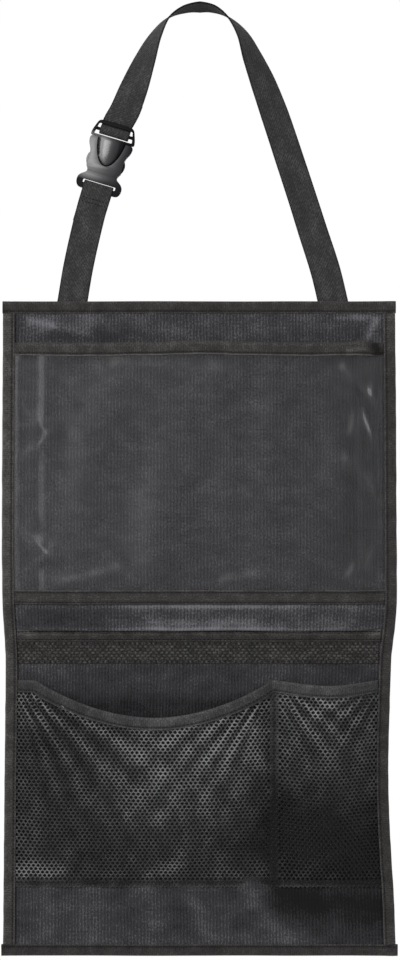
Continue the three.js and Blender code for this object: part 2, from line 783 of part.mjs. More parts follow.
// Short webbing: sewn at the left, folded round the bar of the socket and sewn to itself
function makeAnchorStrap() {
  const anchorAcross = new THREE.Vector3(1, 0, -0.17).normalize();
  const legAcross = new THREE.Vector3(1, 0, -0.24).normalize();
  const frontY = baseThickness / 2 + clearance + webbingThickness / 2;
  const slotV = (slotTopV + slotBottomV) / 2;
  const foldV = slotBottomV - 1;
  const layerStep = webbingThickness + clearance + 0.1;
  const leg = [
    [-0.682, 0, panelTop - anchorOverlap, anchorAcross],
    [-0.662, 0, panelTop - anchorOverlap / 2, anchorAcross],
    [-0.642, 0, panelTop + clearance, anchorAcross],
    [-0.616, webbingThickness * 0.45, panelTop + loopHeight * 0.105, legAcross],
    [-0.589, webbingThickness * 1.7, panelTop + loopHeight * 0.19, legAcross],
  ].map(([out, forward, z, across]) => (
    { centre: new THREE.Vector3(out * halfWidth, webbingY - forward, z), across }
  ));
  const joinLength = foldedTailLength * 0.6;
  const spreadLength = foldedTailLength * 0.27;
  const fold = [
    buckleStation(-1.7, slotBottomV - joinLength),
    buckleStation(-frontY * 0.85, slotBottomV - spreadLength),
    buckleStation(-frontY, slotBottomV - 4.2),
    buckleStation(-frontY - 0.05, foldV),
    buckleStation(-frontY + 0.05, slotV - 1),
    buckleStation(-frontY + 1, slotV + 0.05),
    buckleStation(0, slotV + 0.2),
    buckleStation(frontY - 1, slotV + 0.05),
    buckleStation(frontY - 0.05, slotV - 1),
    buckleStation(frontY + 0.05, foldV),
    buckleStation(frontY, slotBottomV - 4.2),
    buckleStation(frontY * 0.7, slotBottomV - spreadLength),
    buckleStation(-1.7 + layerStep + 0.5, slotBottomV - joinLength),
    buckleStation(0.2 + layerStep, slotBottomV - foldedTailLength),
  ];
  return piece('anchor_strap', ribbon([...leg, ...fold], 3), webbingFabric);
}

// A shape drawn in the buckle's own face, given a depth from front to back
function moulding(shape, front, back, rounding) {
  const bevel = rounding > 0;
  const depth = back - front - (bevel ? 2 * rounding : 0);
  const geometry = new THREE.ExtrudeGeometry(shape, {
    depth, bevelEnabled: bevel, bevelThickness: rounding, bevelSize: rounding,
    bevelOffset: -rounding, bevelSegments: 2, curveSegments: 5,
  });
  geometry.rotateX(Math.PI / 2);
  geometry.translate(0, back - (bevel ? rounding : 0), 0);
  return toManifold(geometry);
}

function block(halfWidth, front, back, bottomV, topV, u = 0) {
  const box = new THREE.BoxGeometry(2 * halfWidth, back - front, topV - bottomV);
  box.translate(u, (front + back) / 2, (bottomV + topV) / 2);
  return toManifold(box);
}

// Outline of the socket: horns at the mouth, a waist, then two round lobes at the base bar
function socketOutline() {
  const baseV = slotBottomV - 4.2;
  const shape = new THREE.Shape();
  shape.moveTo(0, mouthV);
  shape.lineTo(15, mouthV);
  shape.quadraticCurveTo(16.9, mouthV - 0.2, 16.9, mouthV - 2.2);
  shape.bezierCurveTo(17, 7, 13.8, 5, 13.7, windowTopV);
  shape.lineTo(13.6, windowBottomV);
  shape.bezierCurveTo(12.2, -11, 10.9, -12.6, 12.6, -14.2);
  shape.bezierCurveTo(15, -16, 17.7, -17, 17.7, -20.6);
  shape.bezierCurveTo(17.7, -24, 16.4, baseV, 13.2, baseV);
  shape.lineTo(-13.2, baseV);
  shape.bezierCurveTo(-16.4, baseV, -17.7, -24, -17.7, -20.6);
  shape.bezierCurveTo(-17.7, -17, -15, -16, -12.6, -14.2);
  shape.bezierCurveTo(-10.9, -12.6, -12.2, -11, -13.6, windowBottomV);
  shape.lineTo(-13.7, windowTopV);
  shape.bezierCurveTo(-13.8, 5, -17, 7, -16.9, mouthV - 2.2);
  shape.quadraticCurveTo(-16.9, mouthV - 0.2, -15, mouthV);
  return shape;
}

// Side profile of the socket: full thickness over the cavity, thinner at the base bar
function socketProfile() {
  const full = shellThickness / 2;
  const thin = baseThickness / 2;
  const reach = 20;
  const shape = new THREE.Shape();
  shape.moveTo(-full * 0.9, mouthV + 1);
  shape.quadraticCurveTo(-full * 1.02, 4, -full, windowBottomV + 2);
  shape.bezierCurveTo(-full, -13, -thin, -14, -thin, slotTopV + 1);
  shape.lineTo(-thin, slotBottomV - 6);
  shape.lineTo(thin, slotBottomV - 6);
  shape.lineTo(thin, slotTopV + 1);
  shape.bezierCurveTo(thin, -14, full, -13, full, windowBottomV + 2);
  shape.quadraticCurveTo(full * 1.02, 4, full * 0.9, mouthV + 1);
  const geometry = new THREE.ExtrudeGeometry(shape, {
    depth: 2 * reach, bevelEnabled: false, curveSegments: 6,
  });
  const turn = new THREE.Matrix4().makeBasis(
    new THREE.Vector3(0, 1, 0), new THREE.Vector3(0, 0, 1), new THREE.Vector3(1, 0, 0),
  );
  geometry.applyMatrix4(turn);
  geometry.translate(-reach, 0, 0);
  return toManifold(geometry);
}

// Half the width of the tongue at a height: a shield that narrows to a round tip
function tongueHalf(v) {
  const down = clamp01((tongueTopV - v) / (tongueTopV - tongueTipV));
  return tongueHalfWidth * (1 - 0.22 * down) * Math.sqrt(1 - down ** 2.6);
}

// The opening in the socket's front face that shows the tongue
function tongueOpening() {
  const sideSteps = 12;
  const right = [];
  for (let i = 0; i <= sideSteps; i += 1) {
    const share = Math.sin((i / sideSteps) * (Math.PI / 2));
    const v = tongueTopV - (tongueTopV - tongueTipV + 0.5) * share;
    const inside = tongueTopV - (tongueTopV - tongueTipV) * share;
    right.push(new THREE.Vector2(tongueHalf(inside) + 0.5 * (1 - share) + 0.35, v));
  }
  const left = right.map(({ x, y }) => new THREE.Vector2(-x, y)).reverse();
  const above = tongueTopV + 4;
  const wide = tongueHalfWidth + 0.85;
  const corners = [new THREE.Vector2(-wide, above), new THREE.Vector2(wide, above)];
  return new THREE.Shape([...corners, ...right, ...left]);
}

function roundedSlot(halfWidth, bottom, top, radius) {
  const shape = new THREE.Shape();
  shape.moveTo(-halfWidth + radius, bottom);
  shape.lineTo(halfWidth - radius, bottom);
  shape.quadraticCurveTo(halfWidth, bottom, halfWidth, bottom + radius);
  shape.lineTo(halfWidth, top - radius);
  shape.quadraticCurveTo(halfWidth, top, halfWidth - radius, top);
  shape.lineTo(-halfWidth + radius, top);
  shape.quadraticCurveTo(-halfWidth, top, -halfWidth, top - radius);
  shape.lineTo(-halfWidth, bottom + radius);
  shape.quadraticCurveTo(-halfWidth, bottom, -halfWidth + radius, bottom);
  return shape;
}

// The socket half of the buckle: a flat hollow shell, open at its mouth and sides
function makeBuckleSocket() {
  const full = shellThickness / 2 + 0.2;
  const inside = shellThickness / 2 - wallThickness;
  const shell = moulding(socketOutline(), -full, full, 0.9).intersect(socketProfile());
  const cavity = block(cavityHalfWidth, -inside, inside, windowBottomV - 1, mouthV + 4);
  const sideWindows = block(20, -inside, inside, windowBottomV, windowTopV);
  const shield = moulding(tongueOpening(), -full - 2, -inside + 0.1, 0);
  const slot = moulding(roundedSlot(slotHalfWidth, slotBottomV, slotTopV, 1), -full, full, 0);
  const socket = shell.subtract(cavity).subtract(sideWindows).subtract(shield).subtract(slot);
  return piece('buckle_socket', fromManifold(socket), glossPlastic);
}

// Outline of the ladder lock: a rounded frame that widens towards the socket
function lockOutline() {
  const bottomV = mouthV + clearance + 0.1;
  const shape = new THREE.Shape();
  shape.moveTo(0, frameTopV);
  shape.lineTo(11, frameTopV - 0.3);
  shape.bezierCurveTo(13.6, frameTopV - 0.5, 14.4, frameTopV - 2, 15, frameTopV - 4);
  shape.bezierCurveTo(16.4, frameTopV - 8, 17.2, frameTopV - 10, 17.2, bottomV + 1.4);
  shape.quadraticCurveTo(17.2, bottomV, 15.8, bottomV);
  shape.lineTo(-15.8, bottomV);
  shape.quadraticCurveTo(-17.2, bottomV, -17.2, bottomV + 1.4);
  shape.bezierCurveTo(-17.2, frameTopV - 10, -16.4, frameTopV - 8, -15, frameTopV - 4);
  shape.bezierCurveTo(-14.4, frameTopV - 2, -13.6, frameTopV - 0.5, -11, frameTopV - 0.3);
  return shape;
}

function lockWindow() {
  const low = 15;
  const high = 13.3;
  const shape = new THREE.Shape();
  shape.moveTo(-low + 1, frameWindowBottomV);
  shape.lineTo(low - 1, frameWindowBottomV);
  shape.quadraticCurveTo(low, frameWindowBottomV, low - 0.1, frameWindowBottomV + 1);
  shape.lineTo(high + 0.2, frameWindowTopV - 1.2);
  shape.quadraticCurveTo(high, frameWindowTopV, high - 1.2, frameWindowTopV);
  shape.lineTo(-high + 1.2, frameWindowTopV);
  shape.quadraticCurveTo(-high, frameWindowTopV, -high - 0.2, frameWindowTopV - 1.2);
  shape.lineTo(-low + 0.1, frameWindowBottomV + 1);
  shape.quadraticCurveTo(-low, frameWindowBottomV, -low + 1, frameWindowBottomV);
  return shape;
}

// One spring arm with its barb, which fills the socket's side window
function springArm(side) {
  const rootV = mouthV + 2;
  const shape = new THREE.Shape();
  shape.moveTo(side * 8.3, rootV);
  shape.lineTo(side * 11.4, rootV);
  shape.lineTo(side * 11.2, windowTopV + 0.6);
  shape.lineTo(side * 11.3, windowTopV - 0.5);
  shape.lineTo(side * 14.1, windowTopV - 0.6);
  shape.bezierCurveTo(side * 15.6, -1.6, side * 15.6, -5.4, side * 13.4, windowBottomV + 0.5);
  shape.lineTo(side * 10, windowBottomV + 0.4);
  shape.quadraticCurveTo(side * 8.8, -5, side * 8.6, 2);
  const half = springArmThickness / 2;
  return moulding(shape, -half, half, 0);
}

// The glossy shield tongue, crowned towards the front
function makeTongue() {
  const inside = shellThickness / 2 - wallThickness;
  const back = inside - 0.7;
  const stations = 12;
  const arcSteps = 8;
  const outlines = [];
  const heights = [];
  for (let i = 0; i <= stations; i += 1) {
    const share = Math.sin((i / stations) * (Math.PI / 2)) * 0.995;
    const v = tongueTopV + 1 - (tongueTopV + 1 - tongueTipV) * share;
    const half = Math.max(0.6, tongueHalf(v));
    const rise = tongueCrown * Math.sqrt(half / tongueHalfWidth);
    const outline = [];
    for (let j = 0; j <= arcSteps; j += 1) {
      const angle = Math.PI * (j / arcSteps);
      outline.push(new THREE.Vector2(half * Math.cos(angle), -inside - rise * Math.sin(angle)));
    }
    outline.push(new THREE.Vector2(-half, back), new THREE.Vector2(half, back));
    outlines.push(outline);
    heights.push(v);
  }
  return toManifold(loft(outlines, (i, point) => new THREE.Vector3(point.x, point.y, heights[i])));
}

// The plug half of the buckle: ladder lock, tongue and spring arms in one moulding
function makeBucklePlug() {
  const half = frameThickness / 2;
  const frame = moulding(lockOutline(), -half, half, 0.8)
    .subtract(moulding(lockWindow(), -half - 1, half + 1, 0));
  const bar = new THREE.CylinderGeometry(crossBarRadius, crossBarRadius, 31, 14);
  bar.rotateZ(Math.PI / 2);
  bar.translate(0, 0, crossBarV);
  const plug = frame
    .add(toManifold(bar))
    .add(makeTongue())
    .add(springArm(1))
    .add(springArm(-1));
  return piece('buckle_plug', fromManifold(plug), glossPlastic);
}

const group = new THREE.Group();
group.add(makeBackPanel());
group.add(makeSideBinding('left_binding', leftEdge, 1));
group.add(makeSideBinding('right_binding', rightEdge, -1));
group.add(makeEndBinding('top_binding', panelTop, -1, topBindingHeight, bindingOverhang / 2));
group.add(makeEndBinding('bottom_binding', panelBottom, 1, bottomBindingHeight, bindingOverhang));
group.add(makeWindowFilm());
group.add(makeMouthHem());
group.add(makeBaseTape());
group.add(makeGusset());
group.add(makeSeamTape());
group.add(makeKnitStrip());
group.add(makeNet());
group.add(makeNetMouthBinding());
group.add(makeLoopStrap());
group.add(makeAnchorStrap());

const buckle = new THREE.Group();
buckle.position.set(buckleX, buckleY, buckleZ);
buckle.rotation.y = THREE.MathUtils.degToRad(buckleLean);
buckle.add(makeBuckleSocket());
buckle.add(makeBucklePlug());
group.add(buckle);

export default group;
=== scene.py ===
# %% [markdown]
# # A hanging organizer for a car seat
# The real object is sewn: a ribbed fabric panel inside folded tape, a clear window pocket, a
# knitted strip and a net pocket with two bays, hung from a webbing loop with a side-release
# buckle. The CAD frame gives every piece its place and size. This script keeps the moulded buckle
# from it and makes every sewn piece again as real thin cloth, at the same place.

# %% Load the frame
import math

import bpy
import numpy as np
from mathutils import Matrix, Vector, noise


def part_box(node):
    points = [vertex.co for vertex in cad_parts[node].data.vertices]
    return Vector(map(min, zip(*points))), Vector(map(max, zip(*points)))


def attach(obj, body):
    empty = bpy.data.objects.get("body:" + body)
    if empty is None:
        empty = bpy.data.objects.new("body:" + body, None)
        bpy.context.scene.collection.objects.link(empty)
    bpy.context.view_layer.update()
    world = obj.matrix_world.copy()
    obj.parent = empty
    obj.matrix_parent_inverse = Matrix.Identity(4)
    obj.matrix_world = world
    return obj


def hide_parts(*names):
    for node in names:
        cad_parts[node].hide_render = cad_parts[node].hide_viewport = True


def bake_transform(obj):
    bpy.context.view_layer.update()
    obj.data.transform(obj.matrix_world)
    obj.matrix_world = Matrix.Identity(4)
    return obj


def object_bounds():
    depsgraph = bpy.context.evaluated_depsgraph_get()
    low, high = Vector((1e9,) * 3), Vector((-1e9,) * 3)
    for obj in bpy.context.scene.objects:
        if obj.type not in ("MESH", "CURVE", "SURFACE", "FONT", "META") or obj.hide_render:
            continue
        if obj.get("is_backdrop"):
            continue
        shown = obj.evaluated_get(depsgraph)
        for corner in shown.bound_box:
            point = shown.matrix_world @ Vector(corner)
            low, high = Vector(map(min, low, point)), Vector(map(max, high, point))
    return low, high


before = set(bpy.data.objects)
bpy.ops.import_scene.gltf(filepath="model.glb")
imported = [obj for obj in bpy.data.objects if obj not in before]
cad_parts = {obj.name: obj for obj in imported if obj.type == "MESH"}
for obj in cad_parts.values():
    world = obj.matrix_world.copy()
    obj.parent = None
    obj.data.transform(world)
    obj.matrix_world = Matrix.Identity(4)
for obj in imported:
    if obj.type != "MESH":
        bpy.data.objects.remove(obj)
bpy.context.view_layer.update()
MM = 0.001

# %% [markdown]
# ## Cloth from a grid
# Every sewn piece is a thin closed sheet. It could be a plane with a Solidify modifier, but the
# sheet here is written straight from a function that gives the middle surface, because then the
# thickness, the wrinkles and the pattern coordinates all come from the same numbers. The UV map is
# in millimetres, so that a weave keeps its real pitch on every piece.

# %% Helpers for meshes
def box_mm(node):
    low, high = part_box(node)
    return [v / MM for v in low], [v / MM for v in high]


def add_piece(name, points, faces, uvs, material, slot, nodes=(), body="organizer", painted_shading=None):
    mesh = bpy.data.meshes.new(name)
    mesh.from_pydata((np.asarray(points) * MM).tolist(), [], [list(map(int, f)) for f in faces])
    layer = mesh.uv_layers.new(name="UVMap")
    corner = np.empty(len(mesh.loops), dtype=np.int32)
    mesh.loops.foreach_get("vertex_index", corner)
    layer.data.foreach_set("uv", np.asarray(uvs, dtype=np.float32)[corner].ravel())
    mesh.polygons.foreach_set("use_smooth", np.ones(len(mesh.polygons), dtype=bool))
    mesh.materials.append(material)
    # Painted light and shade, given per point by a function, go into a mesh attribute.
    if painted_shading:
        painted_values = painted_shading(np.asarray(points, dtype=float), np.asarray(uvs, dtype=float))
        mesh.attributes.new("painted_shading", "FLOAT", "POINT").data.foreach_set(
            "value", np.asarray(painted_values, dtype=np.float32))
    mesh.update()
    piece = bpy.data.objects.new(name, mesh)
    bpy.context.scene.collection.objects.link(piece)
    if body:
        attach(piece, body)
    if nodes:
        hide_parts(*nodes)
    triangles = sum(len(p.vertices) - 2 for p in mesh.polygons)
    print(f"{name}: {triangles} triangles")
    return piece


def sew(name, shape, material, slot, node, painted_shading=None):
    """A piece that stands for a CAD node and hides that node, in mm."""
    piece = add_piece(name, *shape, material, slot, [node], painted_shading=painted_shading)
    return piece


def thin_sheet(us, vs, place, thickness):
    """Points, faces and UVs of a closed sheet round the surface place(U, V), all in mm."""
    u, v = np.meshgrid(us, vs, indexing="ij")
    middle = place(u, v)
    normal = np.cross(np.gradient(middle, axis=0), np.gradient(middle, axis=1))
    normal /= np.linalg.norm(normal, axis=2, keepdims=True)
    sides = [middle + normal * thickness / 2, middle - normal * thickness / 2]
    points = np.concatenate([side.reshape(-1, 3) for side in sides])
    n, m = u.shape
    index = np.arange(n * m).reshape(n, m)
    a, b = index[:-1, :-1].ravel(), index[1:, :-1].ravel()
    c, d = index[1:, 1:].ravel(), index[:-1, 1:].ravel()
    back = n * m
    faces = np.concatenate([
        np.stack([a, b, c, d], axis=1),
        np.stack([d, c, b, a], axis=1) + back,
    ])
    rim = np.concatenate([index[:, 0], index[-1, 1:], index[-2::-1, -1], index[0, -2:0:-1]])
    ahead = np.roll(rim, -1)
    faces = np.concatenate([faces, np.stack([ahead, rim, rim + back, ahead + back], axis=1)])
    flat_uv = np.stack([u.ravel(), v.ravel()], axis=1)
    return points, faces, np.concatenate([flat_uv, flat_uv])


def swept(sections, uvs):
    """A tube with closed ends through outlines: sections is (stations, points, 3)."""
    n, m, _ = sections.shape
    index = np.arange(n * m).reshape(n, m)
    a, b = index[:-1], np.roll(index, -1, axis=1)[:-1]
    faces = np.stack([a, b, np.roll(index, -1, axis=1)[1:], index[1:]], axis=2).reshape(-1, 4)
    faces = faces.tolist() + [index[0, ::-1].tolist(), index[-1].tolist()]
    return sections.reshape(-1, 3), faces, uvs.reshape(-1, 2)


def field(x, z, size, seed=0.0):
    """Smooth noise of about -1..1 over mm coordinates, the same at every run."""
    flat = [noise.noise(Vector((a / size, b / size, seed * 7.31))) for a, b in
            zip(np.ravel(x), np.ravel(z))]
    return np.array(flat).reshape(np.shape(x))


def smooth(value):
    value = np.clip(value, 0, 1)
    return value * value * (3 - 2 * value)


def strokes(x, z, marks):
    """Sum of soft strokes, each (x0, z0, x1, z1, half width, amount), at mm places."""
    total = np.zeros(np.shape(x))
    for x0, z0, x1, z1, half, amount in marks:
        span = (x1 - x0) ** 2 + (z1 - z0) ** 2
        along = np.clip(((x - x0) * (x1 - x0) + (z - z0) * (z1 - z0)) / span, 0, 1)
        away = np.hypot(x - x0 - along * (x1 - x0), z - z0 - along * (z1 - z0))
        total = total + amount * np.exp(-(away / half) ** 2)
    return total


print("helpers ready")

# %% [markdown]
# ## Finishes
# All the fabrics are black, and what tells them apart is the yarn: the panel has fine upright
# ribs, the tapes are a plain weave, the webbing a diagonal twill. A picture could carry that, but
# a few waves in the nodes are sharp at any distance. Each wave drives the colour and the bump
# together, as dye and light both settle between yarns, and a soft noise breaks the even tone.

# %% Helpers for materials
def math_node(tree, operation, *inputs, clamp=False):
    node = tree.nodes.new("ShaderNodeMath")
    node.operation, node.use_clamp = operation, clamp
    for socket, value in zip(node.inputs, inputs):
        if isinstance(value, (int, float)):
            socket.default_value = value
        else:
            tree.links.new(value, socket)
    return node.outputs[0]


class Nodes:
    """The node tree of one finish, with short ways to add to it."""
    def __init__(self, name):
        self.material = bpy.data.materials.new(name)
        self.material.use_nodes = True
        self.tree = self.material.node_tree
        self.shader = self.tree.nodes["Principled BSDF"]
        self.output = self.tree.nodes["Material Output"]
        split = self.add("ShaderNodeSeparateXYZ")
        self.link(self.add("ShaderNodeUVMap", uv_map="UVMap").outputs[0], split.inputs[0])
        self.u, self.v = split.outputs[0], split.outputs[1]
        # Painted light and shade, read from a mesh attribute of the piece.
        self.painted_shading = self.add("ShaderNodeAttribute", attribute_name="painted_shading").outputs["Fac"]

    def add(self, kind, **values):
        node = self.tree.nodes.new(kind)
        for key, value in values.items():
            setattr(node, key, value)
        return node

    def link(self, a, b):
        self.tree.links.new(a, b)

    def math(self, operation, *inputs, clamp=False):
        return math_node(self.tree, operation, *inputs, clamp=clamp)

    def fix(self, node, **values):
        """Sets a node's inputs by name, with _ for each space."""
        for name, value in values.items():
            node.inputs[name.replace("_", " ")].default_value = value
        return node

    def wave(self, value, pitch, shift=0.0):
        """0..1 wave along a coordinate with one crest every pitch."""
        turned = self.math("MULTIPLY_ADD", value, 2 * math.pi / pitch, shift)
        return self.math("MULTIPLY_ADD", self.math("SINE", turned), 0.5, 0.5)

    def noise(self, scale_u, scale_v, detail=3.0, shift=0.0):
        """Noise over the UV map: sizes in mm along u and v."""
        place = self.add("ShaderNodeCombineXYZ")
        self.link(self.math("MULTIPLY_ADD", self.u, 1 / scale_u, shift), place.inputs[0])
        self.link(self.math("MULTIPLY_ADD", self.v, 1 / scale_v, shift), place.inputs[1])
        texture = self.fix(self.add("ShaderNodeTexNoise"), Scale=1.0, Detail=detail)
        self.link(place.outputs[0], texture.inputs["Vector"])
        return texture.outputs["Fac"]

    def colour(self, factor, dark, middle, light):
        ramp = self.add("ShaderNodeValToRGB")
        stops = ramp.color_ramp.elements
        stops[0].color, stops[1].color = (*dark, 1), (*light, 1)
        stops.new(0.5).color = (*middle, 1)
        self.link(factor, ramp.inputs["Fac"])
        self.link(ramp.outputs["Color"], self.shader.inputs["Base Color"])

    def bump(self, height, distance, strength=1.0):
        node = self.fix(self.add("ShaderNodeBump"), Distance=distance * MM, Strength=strength)
        self.link(height, node.inputs["Height"])
        self.link(node.outputs[0], self.shader.inputs["Normal"])
        return node.outputs[0]


def shade(*rgb):
    """An 8-bit sRGB colour as linear light."""
    return tuple(v / 255 / 12.92 if v / 255 <= 0.04045 else ((v / 255 + 0.055) / 1.055) ** 2.4
                 for v in rgb)


def cloth(n, terms, height, relief, tones, roughness=0.85):
    """Finishes a fabric. Each term (socket, middle, gain) moves the colour off its mean, and
    the mesh attribute of painted light and shade moves it lighter or darker where it is painted."""
    mixed = n.math("ADD", n.painted_shading, 0.5)
    for socket, middle, gain in terms:
        shifted = n.math("SUBTRACT", socket, middle)
        mixed = n.math("MULTIPLY_ADD", shifted, gain, mixed)
    n.colour(mixed, *[shade(*tone) for tone in tones])
    n.bump(height, relief)
    n.fix(n.shader, Roughness=roughness, Sheen_Weight=0.12, Sheen_Roughness=0.5,
          Specular_IOR_Level=0.12)
    return n.material


print("material helpers ready")

# %% Fabric finishes
def make_ribbed():
    n = Nodes("ribbed_fabric")
    drift = n.math("MULTIPLY_ADD", n.noise(4, 14, 1.0, 9.0), 1.6, n.u)
    rib = n.wave(drift, 2.55)
    fibre = n.noise(1.0, 1.5, 2.0)
    mottle = n.noise(16, 11, 2.0, 3.0)
    height = n.math("MULTIPLY_ADD", fibre, 0.5, rib)
    terms = [(rib, 0.5, 0.17), (fibre, 0.5, 1.0), (mottle, 0.5, 0.5)]
    return cloth(n, terms, height, 0.30, [(20, 20, 21), (61, 60, 63), (121, 120, 125)])


def make_tape(name, tones):
    n = Nodes(name)
    plain = n.math("MULTIPLY", n.wave(n.u, 1.05), n.wave(n.v, 1.6))
    fibre = n.noise(1.1, 1.1, 2.0, 1.0)
    mottle = n.noise(9, 8, 2.0, 2.0)
    height = n.math("MULTIPLY_ADD", fibre, 0.6, plain)
    terms = [(plain, 0.25, 0.16), (fibre, 0.5, 0.9), (mottle, 0.5, 0.5)]
    return cloth(n, terms, height, 0.28, tones)


ribbed = make_ribbed()
tape = make_tape("binding_tape", [(18, 17, 17), (62, 60, 59), (120, 118, 116)])
print("ribbed and tape finishes made")

# %% [markdown]
# ## The panel
# The back panel is one layer of ribbed polyester that hangs from the loop, so it is nearly flat,
# with slow waves and a few folds below the net where nothing holds it. A cloth simulation could
# find such waves, but they would land anywhere. Here the waves are a few soft ridges written
# where the photograph shows them, over a quiet noise, and they die out at the bindings.

# %% Edges and the panel
def edge_line(node, side):
    """Distance of a side binding's outer edge from the middle, by height, read off the frame."""
    points = np.array([v.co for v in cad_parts[node].data.vertices]) / MM
    heights = np.unique(points[:, 2].round(1))
    reach = [side * (side * points[np.abs(points[:, 2] - h) < 0.1, 0]).max() for h in heights]
    return lambda z: np.interp(z, heights, reach)


left_edge = edge_line("left_binding", -1)
right_edge = edge_line("right_binding", 1)
panel_low, panel_high = box_mm("back_panel")
panel_thickness = panel_high[1] - panel_low[1]
panel_cut, tape_cover = 300, 9.0


def inner_left(z):
    return left_edge(z) + tape_cover


def inner_right(z):
    return right_edge(z) - tape_cover


# Soft folds of the panel, as strokes with a height in mm
folds = [
    (-118, -196, -104, -240, 8, 1.6), (-82, -197, -92, -240, 7, 1.8),
    (-40, -200, -34, -238, 11, 1.4), (-8, -198, 18, -238, 8, 1.8), (40, -196, 88, -228, 9, 3.0),
    (108, -200, 124, -236, 8, 1.6), (-138, -200, -126, -226, 6, 1.4),
    (-60, -236, -20, -228, 6, 1.2), (-130, 236, -112, 231, 4, 1.2), (-112, 231, -86, 225, 4, 1.4),
    (-46, 224, -36, 240, 6, 0.7), (40, 236, 60, 220, 8, 0.8), (106, 237, 136, 238, 3.4, 1.5),
    (136, 236, 128, 219, 3.4, 1.4),
]
# Painted light (+) and painted shade (-) on the panel's front, as strokes
panel_painted_shading_marks = [
    (-130, 236, -112, 232, 2.6, 0.24), (-112, 231, -84, 226, 2.6, 0.22),
    (106, 238, 138, 238, 2.2, 0.22), (136, 236, 129, 222, 2.4, 0.24),
    (-110, 226, -60, 222, 6, -0.12), (60, 226, 120, 226, 6, -0.08),
    (-140, 224, -136, 240, 5, -0.10), (-30, 236, -10, 224, 6, 0.06),
    (-146, -218, 146, -218, 26, -0.08), (70, -206, 148, -214, 18, -0.48),
    (60, -198, 84, -210, 9, -0.12), (96, -238, 148, -238, 10, -0.16),
    (-20, -200, -14, -232, 9, -0.12), (-60, -200, -54, -226, 9, -0.10),
    (20, -200, 34, -228, 9, -0.08), (38, -204, 70, -238, 6, 0.13), (-4, -208, 6, -236, 6, 0.08),
    (-38, -200, -34, -226, 6, 0.08), (-77, -200, -80, -236, 7, 0.08),
    (-120, -198, -116, -236, 7, 0.08), (-140, -200, -132, -230, 6, -0.08),
    (-130, -46, 140, -46, 9, -0.12), (76, -24, 130, -34, 9, -0.12), (-90, -32, 40, -32, 7, -0.14),
    (124, 60, 124, 190, 22, -0.22), (-130, 230, -86, 236, 9, 0.10), (40, 232, 104, 232, 8, 0.06),
]


def panel_painted_shading(points, uvs):
    # Painted light and shade on the front, and painted shade in the hollow behind the net; the back
    # is set a little darker.
    x, z = points[:, 0], points[:, 2]
    front = points[:, 1] < -panel_thickness / 2
    shade_behind_net = smooth((-46 - z) / 14) * smooth((z + 196) / 8)
    return np.where(front, strokes(x, z, panel_painted_shading_marks) - 0.34 * shade_behind_net, -0.04)


def across_panel(u, z):
    """Real x of a pattern column: the columns draw in with the waist of the edges."""
    left, right = left_edge(z) + 1, right_edge(z) - 1
    return left + (u + panel_cut / 2) / panel_cut * (right - left)


def panel_place(u, v):
    x = across_panel(u, v)
    relief = strokes(x, v, folds) + 0.55 * field(x, v, 34, 1) + 0.22 * field(x, v, 11, 2)
    held = smooth((panel_cut / 2 - np.abs(u)) / 22) * smooth((v - panel_low[2]) / 14)
    held = held * smooth((panel_high[2] - v) / 9)
    quiet = 1 - 0.6 * smooth((v + 40) / 10) * smooth((212 - v) / 6)
    return np.stack([x, -panel_thickness / 2 - relief * held * quiet, v], axis=-1)


us = np.linspace(-panel_cut / 2, panel_cut / 2, 141)
vs = np.linspace(panel_low[2], panel_high[2], 221)
sew("panel_cloth", thin_sheet(us, vs, panel_place, panel_thickness - 0.1), ribbed,
    "ribbed_fabric", "back_panel", panel_painted_shading)

# %% [markdown]
# ## Folded tape round the edges
# The bindings are flat tape folded lengthwise over the raw edge and sewn through. A bevelled
# curve would give a round cord, so the tape is swept instead: its fold is a rounded line in
# section, and it runs along the edge with small puckers that the stitches pull into it.

# %% Folded tape
stitch_pitch, stitch_inset = 3.1, 1.7
side_leg, hem_leg, mouth_leg, tape_thick = 8.6, 9.6, 9.0, 0.6


def fold_path(reach, front, back, steps=9):
    """Middle line of a folded tape in section: (inwards, y) from front leg to back leg."""
    radius = (back - front) / 2
    middle = (front + back) / 2
    leg = np.linspace(reach, radius, 10)[:-1]
    turn = np.linspace(-math.pi / 2, -1.5 * math.pi, steps)
    line = [(r, front) for r in leg]
    line += [(radius + radius * math.cos(a), middle + radius * math.sin(a)) for a in turn]
    line += [(r, back) for r in leg[::-1]]
    return np.array(line)


def path_length(line):
    steps = np.hypot(*np.diff(line, axis=0).T)
    return np.concatenate([[0], np.cumsum(steps)])


def fold_over(name, node, line, along, place, painted_shading, turned=False, material=None):
    """A tape with the section line, swept by place: u is the length round its fold, v along."""
    lengths = path_length(line)

    def surface(u, v):
        inwards = np.interp(u, lengths, line[:, 0])
        depth = np.interp(u, lengths, line[:, 1])
        front = smooth((u.max() / 2 - u) / 3)
        pillow = np.sin(np.pi * np.clip(inwards / line[0, 0], 0, 1)) ** 0.7
        stitch = np.exp(-((inwards - line[0, 0] + 1.6) / 0.8) ** 2)
        pucker = 0.5 + 0.5 * np.cos(2 * np.pi * v / stitch_pitch)
        lift = 0.28 * pillow - 0.24 * stitch * pucker + 0.16 * field(u, v, 5, 3)
        return place(inwards, depth - front * lift, v)

    points, faces, uvs = thin_sheet(lengths, along, surface, tape_thick)
    if turned:
        faces = faces[:, ::-1]
    return sew(name, (points, faces, uvs), material or tape, "binding_tape", node,
               painted_shading)


def fold_painted_shading(level, marks=(), rim=0.20):
    """Painted light and shade of a folded tape: a painted highlight along the inner edge and on the
    fold, darker in the stitch row, shifted by level and the marks.
    """
    def painted_shading(points, uvs):
        across = uvs[:, 0]
        edge = rim * np.exp(-(across / 0.7) ** 2) - 0.26 * np.exp(-((across - 1.8) / 0.7) ** 2)
        turn = np.exp(-((across - 8.2) / 1.0) ** 2)
        return level + edge + 0.10 * turn + strokes(points[:, 0], points[:, 2], marks)
    return painted_shading


print("tape helpers ready")

